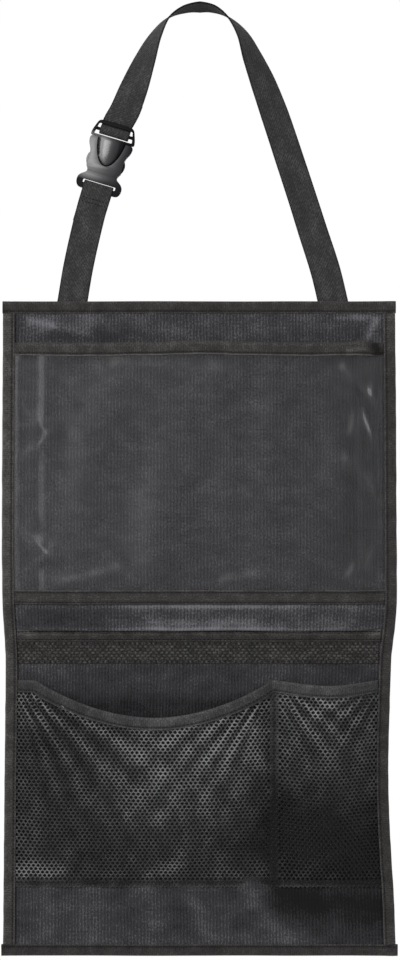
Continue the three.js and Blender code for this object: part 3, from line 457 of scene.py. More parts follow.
# %% Bindings
def side_binding(name, edge, inward, marks):
    low, high = box_mm(name)

    def place(inwards, depth, v):
        x = edge(v) + inward * (inwards + 0.18 * field(v, v, 13, 5))
        return np.stack([x, depth, v], axis=-1)

    return fold_over(name + "_tape", name, fold_path(side_leg, low[1] + 0.42, high[1] - 0.42),
                     np.arange(low[2] - 0.2, high[2] + 0.3, 0.78), place,
                     fold_painted_shading(0.0, marks), turned=inward > 0)


# The left tape gets painted light and the right tape painted shade, as marks.
left_tape = side_binding("left_binding", left_edge, 1, [(-146, 40, -146, 220, 12, 0.07)])
right_tape = side_binding("right_binding", right_edge, -1, [(146, -220, 146, 200, 12, -0.09)])


def end_binding(name, edge_z, inward, level):
    low, high = box_mm(name)

    def place(inwards, depth, v):
        slack = smooth((np.abs(v) - 138) / 12)
        sway = 0.35 * field(v, v * 0, 60, 6) + 0.25 * slack * field(v, inwards, 4, 8)
        z = edge_z + inward * (inwards + sway)
        return np.stack([v, depth - 0.5 * slack * (depth < 0) * (1 + field(v, z, 5, 9)), z], -1)

    line = fold_path(high[2] - low[2], low[1] + 0.4, high[1] - 0.4)
    return fold_over(name + "_tape", name, line, np.arange(low[0], high[0] + 0.4, 0.78), place,
                     fold_painted_shading(level), turned=inward > 0)


top_tape = end_binding("top_binding", box_mm("top_binding")[1][2], -1, -0.10)
bottom_tape = end_binding("bottom_binding", box_mm("bottom_binding")[0][2], 1, -0.14)

# %% [markdown]
# ## The clear window
# The film is a sheet of clear PVC about 0.4 mm thick, bound at its mouth with tape and sewn down
# under the side bindings. It stands off the panel, held out by a gusset below. Glass with
# refraction would be slow and noisy on a sheet this thin, so the finish mixes a tinted see-through
# shader with a soft gloss that grows towards grazing angles.

# %% Film
film_low, film_high = box_mm("window_film")
window_depth, window_shoulder, film_rest = 10.0, 24.0, 2.6
window_top, seam_top, cloth_half = 218.5, -0.6, 147.5
window_middle = (window_top + seam_top) / 2
window_left, window_right = (float(side(window_middle)) for side in (inner_left, inner_right))


def window_stand_off(x):
    rise = smooth((x - window_left) / window_shoulder)
    return window_depth * rise * smooth((window_right - x) / window_shoulder)


# Creases of the film near its sewn edges, as folds of the sheet
film_creases = [
    (-136, 40, -112, 60, 3.0, 1.0), (-138, 76, -108, 52, 3.2, 1.2),
    (-137, 128, -112, 150, 3.2, 1.1), (-134, 172, -116, 150, 3.0, 0.9),
    (-100, 34, -60, 46, 4.0, 0.9), (20, 36, 70, 44, 4.0, 0.8), (112, 200, 136, 168, 3.6, 1.0),
    (134, 206, 118, 150, 3.8, 0.8), (114, 130, 137, 96, 4.0, 1.0), (136, 70, 116, 40, 4.0, 0.8),
    (122, 180, 138, 140, 3.4, -1.0), (-60, 204, 30, 196, 5.0, 0.8),
]


def film_waves(x, z):
    edge = smooth((x - window_left) / 8) * smooth((window_right - x) / 8)
    return edge * (1.1 * field(x, z * 0.45, 30, 11) + 0.35 * field(x + z, z * 0.5, 11, 12)
                   + strokes(x, z, film_creases))


def film_place(u, v):
    x = across_panel(u, v)
    calm = smooth((film_high[2] - 6 - v) / 10) * smooth((v - 30) / 10)
    return np.stack([x, -(film_rest + window_stand_off(x) + calm * film_waves(x, v)), v], -1)


def make_film():
    n = Nodes("clear_film")
    wave = n.noise(26, 44, 2.0, 4.0)
    fine = n.noise(7, 16, 0.0, 6.0)
    normal = n.bump(n.math("MULTIPLY_ADD", fine, 0.12, wave), 1.4, 0.6)
    clear = n.fix(n.add("ShaderNodeBsdfTransparent"), Color=(0.87, 0.87, 0.88, 1))
    n.fix(n.shader, Base_Color=(*shade(146, 147, 150), 1), Roughness=0.3)
    haze = n.add("ShaderNodeMixShader")
    # The haze is the film's own, plus painted sheen from the mesh attribute.
    n.link(n.math("ADD", n.painted_shading, 0.015, clamp=True), haze.inputs["Fac"])
    n.link(clear.outputs[0], haze.inputs[1])
    n.link(n.shader.outputs[0], haze.inputs[2])
    gloss = n.fix(n.add("ShaderNodeBsdfAnisotropic"), Roughness=0.27)
    mirror = n.fix(n.add("ShaderNodeFresnel"), IOR=1.45)
    for node in (gloss, mirror):
        n.link(normal, node.inputs["Normal"])
    surface = n.add("ShaderNodeMixShader")
    n.link(n.math("MULTIPLY", mirror.outputs[0], 0.34), surface.inputs["Fac"])
    n.link(haze.outputs[0], surface.inputs[1])
    n.link(gloss.outputs[0], surface.inputs[2])
    n.link(surface.outputs[0], n.output.inputs["Surface"])
    return n.material


def film_gloss(points, uvs):
    """Painted sheen on the film: whiter along its creases and in a soft band down the left."""
    x, z = points[:, 0], points[:, 2]
    sheen = [(-128, 60, -124, 200, 9, 0.012), (-70, 60, -20, 190, 30, 0.010)]
    return np.maximum(0, 0.025 * strokes(x, z, film_creases)) + strokes(x, z, sheen)


us = np.linspace(-cloth_half, cloth_half, 151)
vs = np.linspace(film_low[2], film_high[2], 111)
sew("window_clear_film", thin_sheet(us, vs, film_place, 0.4), make_film(), "clear_film",
    "window_film", film_gloss)

# %% [markdown]
# ## Tapes and gusset of the window
# A tape is folded over the film's mouth, another covers the joint at its foot, and between that
# and the panel lies a gusset of the ribbed fabric. They could be separate flat strips with a bump,
# but their soft waves are what shows that they are sewn, so each is swept along the film's own
# line. The gusset swells under the tape and turns under in a crease that catches the light.

# %% Mouth hem and base tape
def hem_line(x):
    along = (x - window_left) / (window_right - window_left)
    return window_top - 0.8 * np.sin(along * np.pi * 3) * np.sin(along * np.pi)


def hem_place(inwards, depth, v):
    crumple = smooth((v - 108) / 14) * smooth((window_right + 8 - v) / 6)
    y = -(film_rest + window_stand_off(v)) + depth
    z = hem_line(v) - inwards + 0.5 * field(v, v * 0, 16, 21)
    y = y - crumple * (2.2 * field(v, z, 8, 22) + 0.6) - 0.4 * field(v, z, 18, 23)
    z = z + crumple * 2.0 * field(v, inwards * 0.4, 9, 24)
    return np.stack([v, y, z], -1)


hem_low, hem_high = box_mm("window_mouth_hem")
# Painted shade at the hem's right end where it tucks under the binding, painted light beside it,
# and a stronger painted highlight along its lower edge.
hem_marks = [(134, 218, 139, 208, 4.6, -0.50), (114, 212, 127, 215, 2.2, 0.20),
             (60, 214, 110, 214, 8, -0.05)]
hem = fold_over("window_mouth_tape", "window_mouth_hem", fold_path(hem_leg, -0.95, 0.95),
                np.arange(hem_low[0], hem_high[0] + 0.3, 0.8), hem_place,
                fold_painted_shading(-0.02, hem_marks, rim=0.50))


def strip(name, node, top, height, depth_at, thickness, level, shaded=0.0):
    """A flat tape pillowed between two rows of stitches; shaded adds painted light to its top."""
    low, high = box_mm(node)
    us = np.arange(low[0], high[0] + 0.4, 0.8)
    vs = np.linspace(top - height, top, max(6, int(height / 0.75)))

    def rows(down, inset):
        return sum(np.exp(-((down - at) / 0.7) ** 2) for at in (inset, height - inset))

    def place(u, v):
        pucker = 0.5 + 0.5 * np.cos(2 * np.pi * u / stitch_pitch)
        relief = 0.3 * field(u, v, 12, 33) + 0.12 * field(u, v, 4, 34)
        relief = relief - 0.22 * rows(top - v, 1.6) * pucker
        z = v + 0.3 * field(u, v * 0, 22, 31 + len(name))
        return np.stack([u, -(depth_at(u) + relief), z], -1)

    def painted_shading(points, uvs):
        down = top - uvs[:, 1]
        # Painted highlight along the top edge, darker in the stitch rows.
        rim = 0.20 * np.exp(-(down / 0.7) ** 2)
        return level + rim - 0.22 * rows(down, 1.7) + shaded * (down < 4.5)

    return sew(name, thin_sheet(us, vs, place, thickness), tape, "binding_tape", node,
               painted_shading)


foot_top, foot_height, foot_gap, seam_height = 29.5, 10.7, 0.9, 9.4
foot_tape = strip("window_foot_tape", "window_base_tape", foot_top, foot_height,
                  lambda u: film_rest + foot_gap + window_stand_off(u), 0.55, -0.04)
# The seam tape's top gets painted light, which softens the shadow that the gusset casts on it.
seam_tape = strip("gusset_foot_tape", "gusset_seam_tape", seam_top, seam_height,
                  lambda u: 2.75 + 0 * u, 0.5, 0.0, shaded=0.16)

# %% Gusset
# The gusset's line in section, from under the tape to under the seam: height, distance out
profile = np.array([
    (27.3, 10.0), (18.4, 10.0), (17.0, 11.4), (14.4, 12.0), (11.0, 11.7), (7.6, 11.2),
    (5.0, 12.0), (2.6, 13.9), (0.9, 14.3), (0.2, 12.9), (0.1, 8.0), (0.05, 1.5), (-0.8, 0.2),
    (-7.6, 0.0),
])
run = path_length(profile)
even = np.linspace(0, run[-1], 64)
kernel = np.array([0.25, 0.5, 0.25])
soft = np.stack([np.interp(even, run, profile[:, i]) for i in range(2)], 1)
for _ in range(3):
    soft[1:-1] = sum(k * soft[i:len(soft) - 2 + i] for i, k in enumerate(kernel))


def gusset_place(u, v):
    z, out = (np.interp(v, even, soft[::-1, i]) for i in range(2))
    x = across_panel(u, z)
    free = np.clip(out / 12, 0, 1)
    wave = free * (0.5 * field(x, z * 0.6, 17, 41) + 0.3 * field(x, z, 7, 42))
    share = window_stand_off(x) / window_depth
    dip = 0.9 * field(x, x * 0, 45, 43) * free
    sag = (dip - 1.5 * smooth((out - 6) / 4)) * smooth((16 - z) / 12) * share
    return np.stack([x, -(1.8 + (out + wave) * share), z + sag], -1)


def gusset_painted_shading(points, uvs):
    """Painted highlights on the swell under the tape and along the crease, most in the middle, and
    painted shade on the back and towards the left.
    """
    x, z = points[:, 0], points[:, 2]
    front = smooth((-points[:, 1] - 2.4) / 4)
    middle = 0.30 + 0.70 * np.exp(-((x - 6) / 60) ** 2)
    crest = -0.1 + 1.0 * field(x, x * 0, 24, 45)
    crease = np.exp(-((z - crest) / 1.5) ** 2) * (0.75 + 0.5 * field(x, x * 0, 9, 46))
    crease = crease + 0.35 * middle * np.exp(-((z - 4) / 3.5) ** 2)
    under_tape = np.exp(-((z - 17.5) / 2.0) ** 2)
    shaded = 0.06 * (1 - front) + 0.20 * front * smooth((-40 - x) / 50)
    return front * middle * (0.66 * crease + 0.46 * under_tape) - shaded


us = np.linspace(-cloth_half, cloth_half, 241)
sew("window_gusset_cloth", thin_sheet(us, even, gusset_place, 0.5), ribbed, "ribbed_fabric",
    "window_gusset", gusset_painted_shading)

# %% [markdown]
# ## The knitted strip
# Below the gusset runs a coarse knit, about seven rows of loops high. Bump alone stays flat where
# the light rakes along it, so the loops are real relief: each one is a small rounded leaf between
# two dark gaps, and alternate rows lean the other way as knitting does.

# %% Knit
knit_bottom, knit_top, knit_row, knit_loop = -26.5, -10.3, 2.31, 4.06


def knit_relief(u, v):
    row = (v - knit_bottom) / knit_row
    shift = np.where(np.floor(row).astype(int) % 2 == 0, 0.0, 0.5)
    across = np.abs(np.sin(np.pi * (u / knit_loop + shift)))
    along = np.sin(np.pi * (row % 1))
    return 0.75 * (across ** 0.6) * (along ** 0.5) - 0.55


def make_knit():
    n = Nodes("knitted_strip")
    row = n.math("MULTIPLY_ADD", n.v, 1 / knit_row, -knit_bottom / knit_row)
    parity = n.math("MULTIPLY", n.math("MODULO", n.math("FLOOR", row), 2.0), 0.5)
    place = n.math("MULTIPLY_ADD", n.u, 1 / knit_loop, parity)
    across = n.math("ABSOLUTE", n.math("SINE", n.math("MULTIPLY", place, math.pi)))
    along = n.math("ABSOLUTE", n.math("SINE", n.math("MULTIPLY", row, math.pi)))
    loop = n.math("MULTIPLY", n.math("POWER", across, 0.6), n.math("POWER", along, 0.5))
    fibre = n.noise(1.2, 1.2, 2.0)
    height = n.math("MULTIPLY_ADD", fibre, 0.4, loop)
    terms = [(loop, 0.72, 0.48), (fibre, 0.5, 1.2), (n.noise(9, 6, 3.0, 8.0), 0.5, 0.6)]
    return cloth(n, terms, height, 0.25, [(10, 10, 10), (53, 52, 51), (108, 106, 104)])


low, high = box_mm("knit_strip")
us = np.arange(low[0], high[0], 0.5)
vs = np.linspace(knit_bottom, knit_top, 43)
knit_shape = thin_sheet(us, vs, lambda u, v: np.stack([u, -(2.1 + knit_relief(u, v)), v], -1), 0.9)
knit_cloth = sew("knit_cloth", knit_shape, make_knit(), "knitted_strip", "knit_strip")

# %% [markdown]
# ## The net
# The pockets are one piece of warp-knitted mesh with six-sided holes 3.5 mm apart. A see-through
# texture would be light, but from the side a net is seen to be yarn with depth. So every hole is
# a real one: a honeycomb of cells, each a ring of faces that rises to a ridge between holes. The
# elastic mouth pulls the cloth into lines that run down from its two high ends.

# %% Shape of the two bays
net_bottom, divider_x, divider_half = -194.0, 57.4, 2.0
mouth_high, wide_dip, narrow_dip = -39.5, 27.5, 2.5


def net_mouth(x):
    span = inner_right(mouth_high) - divider_x
    narrow = mouth_high - narrow_dip * np.sin(np.pi * np.clip((x - divider_x) / span, 0, 1))
    middle = (divider_x + inner_left(mouth_high)) / 2 + 7
    off = np.abs(x - middle) / (divider_x - middle)
    over = smooth((off - 0.9) / 0.2)
    off = off * (1 - over) + over * np.minimum(1, 0.985 + 0.1 * (off - 0.9))
    wide = mouth_high - wide_dip * (1 - np.minimum(1, off) ** 1.9)
    return np.where(x > divider_x, narrow, wide)


def net_stand_off(x, z):
    wide = x < divider_x
    left = np.where(wide, inner_left(z), divider_x + divider_half)
    right = np.where(wide, divider_x - divider_half, inner_right(z))
    across = np.sin(np.pi * np.clip((x - left) / (right - left), 0, 1))
    plan = np.where(wide, 1 - (1 - across) ** 1.6, across ** 1.3)
    top = net_mouth(x) - 11
    up = np.clip((z - net_bottom) / (top - net_bottom), 0, 1)
    belly = (1 - (1 - up) ** 3) * (1 + 0.22 * np.sin(np.pi * up))
    return 2.7 + np.where(wide, 24.0, 38.0) * plan * belly


def pull_lines(x, z):
    """Ridges that the elastic pulls in the net, fanning down from the high ends of each mouth."""
    lift = np.zeros_like(x)
    for corner_x, side, reach, count in ((-146, 1, 120, 34), (58, -1, 105, 36),
                                         (54, 1, 70, 26), (144, -1, 60, 26)):
        dx, dz = side * (x - corner_x), mouth_high + 8 - z
        angle = np.arctan2(np.maximum(dz, 0), np.maximum(dx, 0.01))
        away = np.hypot(dx, dz)
        inside = (dx > 0) & (dz > 0) & ((x < divider_x) == ((corner_x + side * 6) < divider_x))
        fade = np.exp(-(away / reach) ** 2) * smooth((away - 14) / 24)
        lean = smooth((angle - 0.35) / 0.2) * smooth((1.35 - angle) / 0.3)
        wave = np.sin(angle * count + 2.2 * field(x, z, 60, 51))
        lift += inside * fade * lean * (wave * np.abs(wave) ** 0.4)
    return lift


# %% Net finish and honeycomb
def make_net_finish():
    n = Nodes("pocket_net")
    fibre = n.noise(1.0, 1.0, 2.0, 2.0)
    rows = n.wave(n.v, 0.75)
    height = n.math("MULTIPLY_ADD", fibre, 0.8, rows)
    terms = [(rows, 0.5, 0.10), (fibre, 0.5, 1.0), (n.noise(12, 16, 3.0, 5.0), 0.5, 0.9)]
    return cloth(n, terms, height, 0.12, [(18, 18, 18), (72, 72, 73), (150, 150, 151)], 0.7)


hole_pitch, row_pitch = 3.5, 2.58
hole_share, seam_share, ridge_height, net_back = 0.66, 0.16, 0.40, 0.42


def honeycomb(low_x, high_x, low_z, keep):
    """Cells of the net as hexagon corners on shared points, for cell centres that keep() wants."""
    tall = (row_pitch ** 2 + (hole_pitch / 2) ** 2) / (2 * row_pitch)
    corner = row_pitch - tall
    ring = np.array([(0, tall), (-hole_pitch / 2, corner), (-hole_pitch / 2, -corner),
                     (0, -tall), (hole_pitch / 2, -corner), (hole_pitch / 2, corner)])
    centres = []
    for row in range(int((0 - low_z) / row_pitch) + 1):
        z = low_z + row * row_pitch
        xs = np.arange(low_x + (row % 2) * hole_pitch / 2, high_x, hole_pitch)
        centres += [(x, z) for x in xs if keep(x, z)]
    shared, points, cells = {}, [], []
    for x, z in centres:
        cell = []
        for dx, dz in ring:
            key = (round((x + dx) * 8), round((z + dz) * 8))
            if key not in shared:
                shared[key] = len(points)
                points.append((x + dx, z + dz))
            cell.append(shared[key])
        cells.append(cell)
    return np.array(centres), np.array(points), np.array(cells), ring


def net_height(x, z):
    held = smooth((x - inner_left(z)) / 6) * smooth((inner_right(z) - x) / 6)
    held = held * smooth(np.abs(x - divider_x) / 8) * smooth((z - net_bottom) / 10)
    wave = 1.7 * pull_lines(x, z) + 0.9 * field(x, z, 30, 52) + 0.3 * field(x, z, 9, 53)
    return net_stand_off(x, z) + np.maximum(-0.5, wave) * held


def drawn(x, z):
    """Where a net point sits after the yarns are drawn along the pull lines."""
    sway = 1.3 * field(x, z, 40, 54)
    crowd = smooth((x - inner_left(z)) / 14) * smooth((inner_right(z) - x) / 10)
    seam = smooth(np.abs(x - divider_x) / 10) * smooth((z - net_bottom) / 12)
    lines = pull_lines(x + 1.2, z) - pull_lines(x - 1.2, z)
    return x + (sway - 0.55 * lines) * crowd * seam, z + 0.7 * field(x, z, 26, 55) * seam


def net_keep(x, z):
    inside = inner_left(z) - 5 < x < inner_right(z) + 5
    return inside and z < float(net_mouth(np.array(x))) - 4.2


# Painted highlights (+) and painted shade (-) on the net
net_painted_shading_marks = [
    (-118, -90, -92, -170, 32, -0.24), (-30, -78, 20, -84, 26, 0.20),
    (28, -60, 44, -90, 18, 0.12), (-50, -120, 30, -126, 28, 0.10),
    (-60, -168, 50, -170, 22, -0.16), (80, -62, 124, -66, 20, 0.10),
    (72, -150, 134, -170, 34, -0.66), (-142, -186, -104, -186, 9, 0.22),
    (-140, -56, -124, -66, 9, 0.16), (-36, -186, -14, -176, 8, 0.16),
]


def net_painted_shading(points, uvs):
    # Painted highlights on the pull lines and the marks, darker along the two seams.
    x, z = points[:, 0], points[:, 2]
    seam = np.exp(-((x - divider_x) / 3) ** 2) + np.exp(-((z - net_bottom) / 3.2) ** 2)
    return strokes(x, z, net_painted_shading_marks) + 0.34 * pull_lines(x, z) - 0.34 * seam


def make_net():
    centres, points, cells, ring = honeycomb(-148.0, 148.0, net_bottom - 2.4, net_keep)
    count = len(cells)
    hole = hole_share + 0.05 * field(centres[:, 0], centres[:, 1], 20, 4)
    seamed = (np.abs(centres[:, 0] - divider_x) < 3.2) | (centres[:, 1] < net_bottom + 1.5)
    hole[seamed] = seam_share
    inner = centres[:, None, :] + ring[None] * hole[:, None, None]
    flat = np.concatenate([points, inner.reshape(-1, 2)])
    x, z = drawn(flat[:, 0], flat[:, 1])
    ridge = ridge_height * (np.arange(len(flat)) < len(points))
    step = 0.6
    slope_x = (net_stand_off(x + step, z) - net_stand_off(x - step, z)) / (2 * step)
    slope_z = (net_stand_off(x, z + step) - net_stand_off(x, z - step)) / (2 * step)
    normal = np.stack([-slope_x, -np.ones_like(x), -slope_z], 1)
    normal /= np.linalg.norm(normal, axis=1, keepdims=True)
    middle = np.stack([x, -net_height(x, z), z], 1)
    front = middle + normal * ridge[:, None]
    back = middle[:len(points)] - normal[:len(points)] * net_back
    total = len(flat)
    all_points = np.concatenate([front, back])
    uv = np.concatenate([flat, points])
    rim = len(points) + np.arange(count * 6).reshape(count, 6)
    faces, edges = [], []
    for cell, inside in zip(cells, rim):
        for i in range(6):
            a, b = cell[i], cell[(i + 1) % 6]
            p, q = inside[i], inside[(i + 1) % 6]
            faces.append((a, p, q, b))
            faces.append((a + total, b + total, q, p))
            edges.append((a, b))
    inner_edges = set(edges)
    faces += [(a, b, b + total, a + total) for a, b in edges if (b, a) not in inner_edges]
    print("net cells:", count)
    return add_piece("net_cloth", all_points, faces, uv, make_net_finish(), "pocket_net",
                     ["net_pockets"], painted_shading=net_painted_shading)


net = make_net()

# %% [markdown]
# ## The mouth of the net
# A flat elastic is folded over the cut edge of the net and sewn through. It is swept like the
# window's hem, along the curved mouth, and its ends tuck under the side bindings.

# %% Net mouth
def mouth_place(inwards, depth, v):
    crest = net_mouth(v) + 0.25 * field(v, v * 0, 18, 61)
    slope = (net_mouth(v + 0.6) - net_mouth(v - 0.6)) / 1.2
    y = -net_stand_off(v, net_mouth(v)) + depth - 0.25 * field(v, inwards, 14, 62)
    lean = inwards * 0.6 * slope / np.sqrt(1 + slope ** 2) * smooth((138 - np.abs(v)) / 16)
    return np.stack([v + lean * smooth(np.abs(v - divider_x) / 10), y, crest - inwards], -1)


low, high = box_mm("net_mouth_binding")
mouth_marks = [(-140, -44, -90, -60, 8, -0.10), (66, -44, 138, -44, 8, 0.05),
               (-30, -68, 10, -66, 10, 0.08)]
mouth_tape = fold_over("net_mouth_tape", "net_mouth_binding", fold_path(mouth_leg, -1.0, 1.0),
                       np.arange(low[0] + 0.1, high[0], 0.8), mouth_place,
                       fold_painted_shading(0.0, mouth_marks),
                       material=make_tape("mouth_elastic",
                                          [(20, 20, 20), (60, 60, 60), (116, 116, 116)]))

# %% [markdown]
# ## Webbing straps
# The loop is polypropylene webbing 23 mm wide, woven in a fine twill. It leaves the panel on the
# right, turns over its edge at the top of the loop, and ends in the ladder lock. It is swept along
# the same stations as the frame's strap, with a rounded section and firmer selvedges, so that it
# still passes cleanly round the lock's bar.

# %% Strap helpers
def centripetal(points, substeps):
    """Points and tangents on the centripetal Catmull-Rom curve through the given points."""
    p = np.array(points, dtype=float)
    p = np.concatenate([[2 * p[0] - p[1]], p, [2 * p[-1] - p[-2]]])
    places, tangents = [], []
    for i in range(1, len(p) - 2):
        gap = [max(1e-4, np.linalg.norm(p[i + k] - p[i + k - 1])) ** 0.5 for k in (0, 1, 2)]
        t1 = (p[i] - p[i - 1]) / gap[0] - (p[i + 1] - p[i - 1]) / (gap[0] + gap[1])
        t1 = (t1 + (p[i + 1] - p[i]) / gap[1]) * gap[1]
        t2 = (p[i + 1] - p[i]) / gap[1] - (p[i + 2] - p[i]) / (gap[1] + gap[2])
        t2 = (t2 + (p[i + 2] - p[i + 1]) / gap[2]) * gap[1]
        c = -3 * p[i] + 3 * p[i + 1] - 2 * t1 - t2
        d = 2 * p[i] - 2 * p[i + 1] + t1 + t2
        for k in range(substeps + (i == len(p) - 3)):
            t = k / substeps
            places.append(p[i] + t1 * t + c * t ** 2 + d * t ** 3)
            tangents.append(t1 + 2 * c * t + 3 * d * t ** 2)
    tangents = np.array(tangents)
    return np.array(places), tangents / np.linalg.norm(tangents, axis=1, keepdims=True)


def unit(vector):
    vector = np.asarray(vector, dtype=float)
    return vector / np.linalg.norm(vector)


web_width, web_thick, web_y, sewn_on = 23.0, 1.3, 1.95, 34
half_width, panel_top, loop_height = 151.0, 250.25, 225.9
lean = math.radians(16.7)
buckle_at = np.array([-0.467 * half_width, -1.5, panel_top + 0.484 * loop_height])
buckle_across = np.array([math.cos(lean), 0, -math.sin(lean)])
buckle_along = np.array([math.sin(lean), 0, math.cos(lean)])


def on_buckle(y, v):
    return buckle_at + buckle_along * v + np.array([0, y, 0]), buckle_across


def make_webbing():
    n = Nodes("webbing")
    twill = n.wave(n.math("MULTIPLY_ADD", n.v, 0.9, n.u), 2.3)
    fibre = n.noise(1.4, 2.0, 2.0)
    height = n.math("MULTIPLY_ADD", fibre, 0.8, twill)
    edge = n.math("SUBTRACT", n.math("ABSOLUTE", n.u), 10.2, clamp=True)
    terms = [(twill, 0.5, 0.12), (fibre, 0.5, 0.7), (n.noise(9, 20, 2.0, 1.0), 0.5, 0.5),
             (edge, 0.0, -0.30)]
    return cloth(n, terms, height, 0.24, [(20, 19, 19), (58, 57, 57), (112, 110, 110)])


webbing = make_webbing()


def strap_section():
    """(across, depth) round a woven band with rounded, slightly thicker selvedges."""
    half, skin = web_width / 2, web_thick / 2 - 0.05
    top = [(a, skin * (1.0 if abs(a) < 9.5 else 1.06))
           for a in np.linspace(-half + 0.35, half - 0.35, 15)]
    turn = [(half - 0.05, skin * 0.5), (half, 0.0), (half - 0.05, -skin * 0.5)]
    bottom = [(a, -d) for a, d in top[::-1]]
    other = [(-a, -d) for a, d in turn]
    return np.array(top + turn + bottom + other)


def web_painted_shade(points, uvs):
    """Painted shade on the loop's inner face at its top, which lies in its own shadow."""
    return -0.62 * smooth((points[:, 2] - 463) / 6)


def sweep_strap(name, stations, node, substeps=5):
    places, tangents = centripetal([c for c, _ in stations], substeps)
    which = np.linspace(0, len(stations) - 1, len(places))
    across = np.array([a for _, a in stations])
    across = np.stack([np.interp(which, np.arange(len(across)), across[:, k]) for k in range(3)], 1)
    across -= tangents * np.sum(across * tangents, axis=1, keepdims=True)
    across /= np.linalg.norm(across, axis=1, keepdims=True)
    normal = np.cross(tangents, across)
    section = strap_section()
    run = np.concatenate([[0], np.cumsum(np.linalg.norm(np.diff(places, axis=0), axis=1))])
    rings = (places[:, None] + across[:, None] * section[None, :, :1]
             + normal[:, None] * section[None, :, 1:])
    uv = np.stack([np.broadcast_to(section[:, 0], rings.shape[:2]),
                   np.broadcast_to(run[:, None], rings.shape[:2])], 2)
    points, faces, uvs = swept(rings, uv)
    return add_piece(name, points, faces, uvs, webbing, "webbing", [node],
                     body=None if name == "loop_webbing" else "organizer", painted_shading=web_painted_shade), run[-1]


# %% Loop strap
loop_points = [
    (0.678, 0.006, 0), (0.641, 0.108, 3), (0.576, 0.2435, 10), (0.528, 0.345, 14),
    (0.4545, 0.495, 16), (0.3855, 0.6335, 20), (0.3245, 0.745, 32), (0.272, 0.83, 48),
    (0.221, 0.9085, 67), (0.15, 0.9655, 84), (0.0795, 0.993, 96), (0.0055, 1, 102.5),
    (-0.076, 0.992, 96), (-0.155, 0.964, 84), (-0.2225, 0.9, 65), (-0.279, 0.813, 42),
    (-0.3335, 0.719, 18), (-0.378, 0.646, 2),
]


def loop_stations():
    flat = np.array([(a * half_width, panel_top + b * loop_height) for a, b, _ in loop_points])
    stations, behind = [], []
    for i, (_, _, twist) in enumerate(loop_points):
        along = unit(flat[min(len(flat) - 1, i + 1)] - flat[max(0, i - 1)])
        angle = math.radians(twist)
        inner = np.array([-along[1], 0, along[0]])
        stations.append((np.array([flat[i][0], web_y, flat[i][1]]),
                         inner * math.cos(angle) + np.array([0, -math.sin(angle), 0])))
        behind.append(np.array([0, math.cos(angle), 0]) + inner * math.sin(angle))
    return stations, behind


def loop_route():
    sewn = unit((-1, 0, -0.25))
    start = [(np.array([0.7325 * half_width, web_y, panel_top - sewn_on]), sewn),
             (np.array([0.7045 * half_width, web_y, panel_top - sewn_on / 2]), sewn)]
    free, behind = loop_stations()
    back, bar_v, bar_r = 3.45, 20.5, 1.25
    over = bar_r + 0.3 + web_thick / 2
    around, tail_y = over + 0.45, back + web_thick + 0.3
    lock = [(back, 28), (back, 25.2), (back * 0.86, 24.1), (back * 0.48, 23.45),
            (0, bar_v + around), (-around * 0.5, bar_v + around * 0.87),
            (-around * 0.84, bar_v + around * 0.52), (-over - 0.15, bar_v),
            (-around * 0.84, bar_v - around * 0.52), (-around * 0.5, bar_v - around * 0.87),
            (0, bar_v - around), (tail_y * 0.42, bar_v - around - 0.1),
            (tail_y * 0.76, bar_v - around * 0.9), (tail_y, bar_v - around * 0.4),
            (tail_y, 25.2), (tail_y, 28)]
    step = web_thick + 0.6
    last = (free[-1][0] + behind[-1] * step, free[-1][1])
    before = (free[-2][0] + behind[-2] * step, free[-2][1])
    end = tuple(0.5 * (a + b) for a, b in zip(last, before))
    return start + free + [on_buckle(y, v) for y, v in lock] + [last, end]


loop_strap, loop_length = sweep_strap("loop_webbing", loop_route(), "loop_strap")
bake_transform(loop_strap)
print("loop webbing length (mm):", round(loop_length))

# %% Anchor strap
def anchor_route():
    sewn, leg_across = unit((1, 0, -0.17)), unit((1, 0, -0.24))
    leg = [(-0.682, 0, panel_top - sewn_on, sewn), (-0.662, 0, panel_top - sewn_on / 2, sewn),
           (-0.642, 0, panel_top + 0.3, sewn),
           (-0.616, web_thick * 0.45, panel_top + loop_height * 0.105, leg_across),
           (-0.589, web_thick * 1.7, panel_top + loop_height * 0.19, leg_across)]
    leg = [(np.array([out * half_width, web_y - fwd, z]), a) for out, fwd, z, a in leg]
    front = 5.2 / 2 + 0.3 + web_thick / 2
    slot, low_edge = -20.85, -22.3
    step = web_thick + 0.4
    fold = [(-1.7, low_edge - 18), (-front * 0.85, low_edge - 8.1), (-front, low_edge - 4.2),
            (-front - 0.05, low_edge - 1), (-front + 0.05, slot - 1), (-front + 1, slot + 0.05),
            (0, slot + 0.2), (front - 1, slot + 0.05), (front - 0.05, slot - 1),
            (front + 0.05, low_edge - 1), (front, low_edge - 4.2),
            (front * 0.7, low_edge - 8.1), (-1.7 + step + 0.5, low_edge - 18),
            (0.2 + step, low_edge - 30)]
    return leg + [on_buckle(y, v) for y, v in fold]


anchor_strap, anchor_length = sweep_strap("anchor_webbing", anchor_route(), "anchor_strap")
print("anchor webbing length (mm):", round(anchor_length))

# %% [markdown]
# ## Stitches
# A sewn edge reads as sewn by its thread. A dashed line in the colour would do from afar, but a
# lockstitch is a short round bead that sinks at both ends, so each stitch is a small capsule. It
# is laid on the cloth by a ray cast at its two ends, which lets it follow every pucker.

# %% Thread
def make_thread():
    n = Nodes("thread")
    ply = n.wave(n.math("ADD", n.u, n.v), 0.5)
    return cloth(n, [(ply, 0.5, 0.3)], ply, 0.05, [(4, 4, 4), (11, 11, 11), (46, 45, 45)], 0.6)


thread = make_thread()


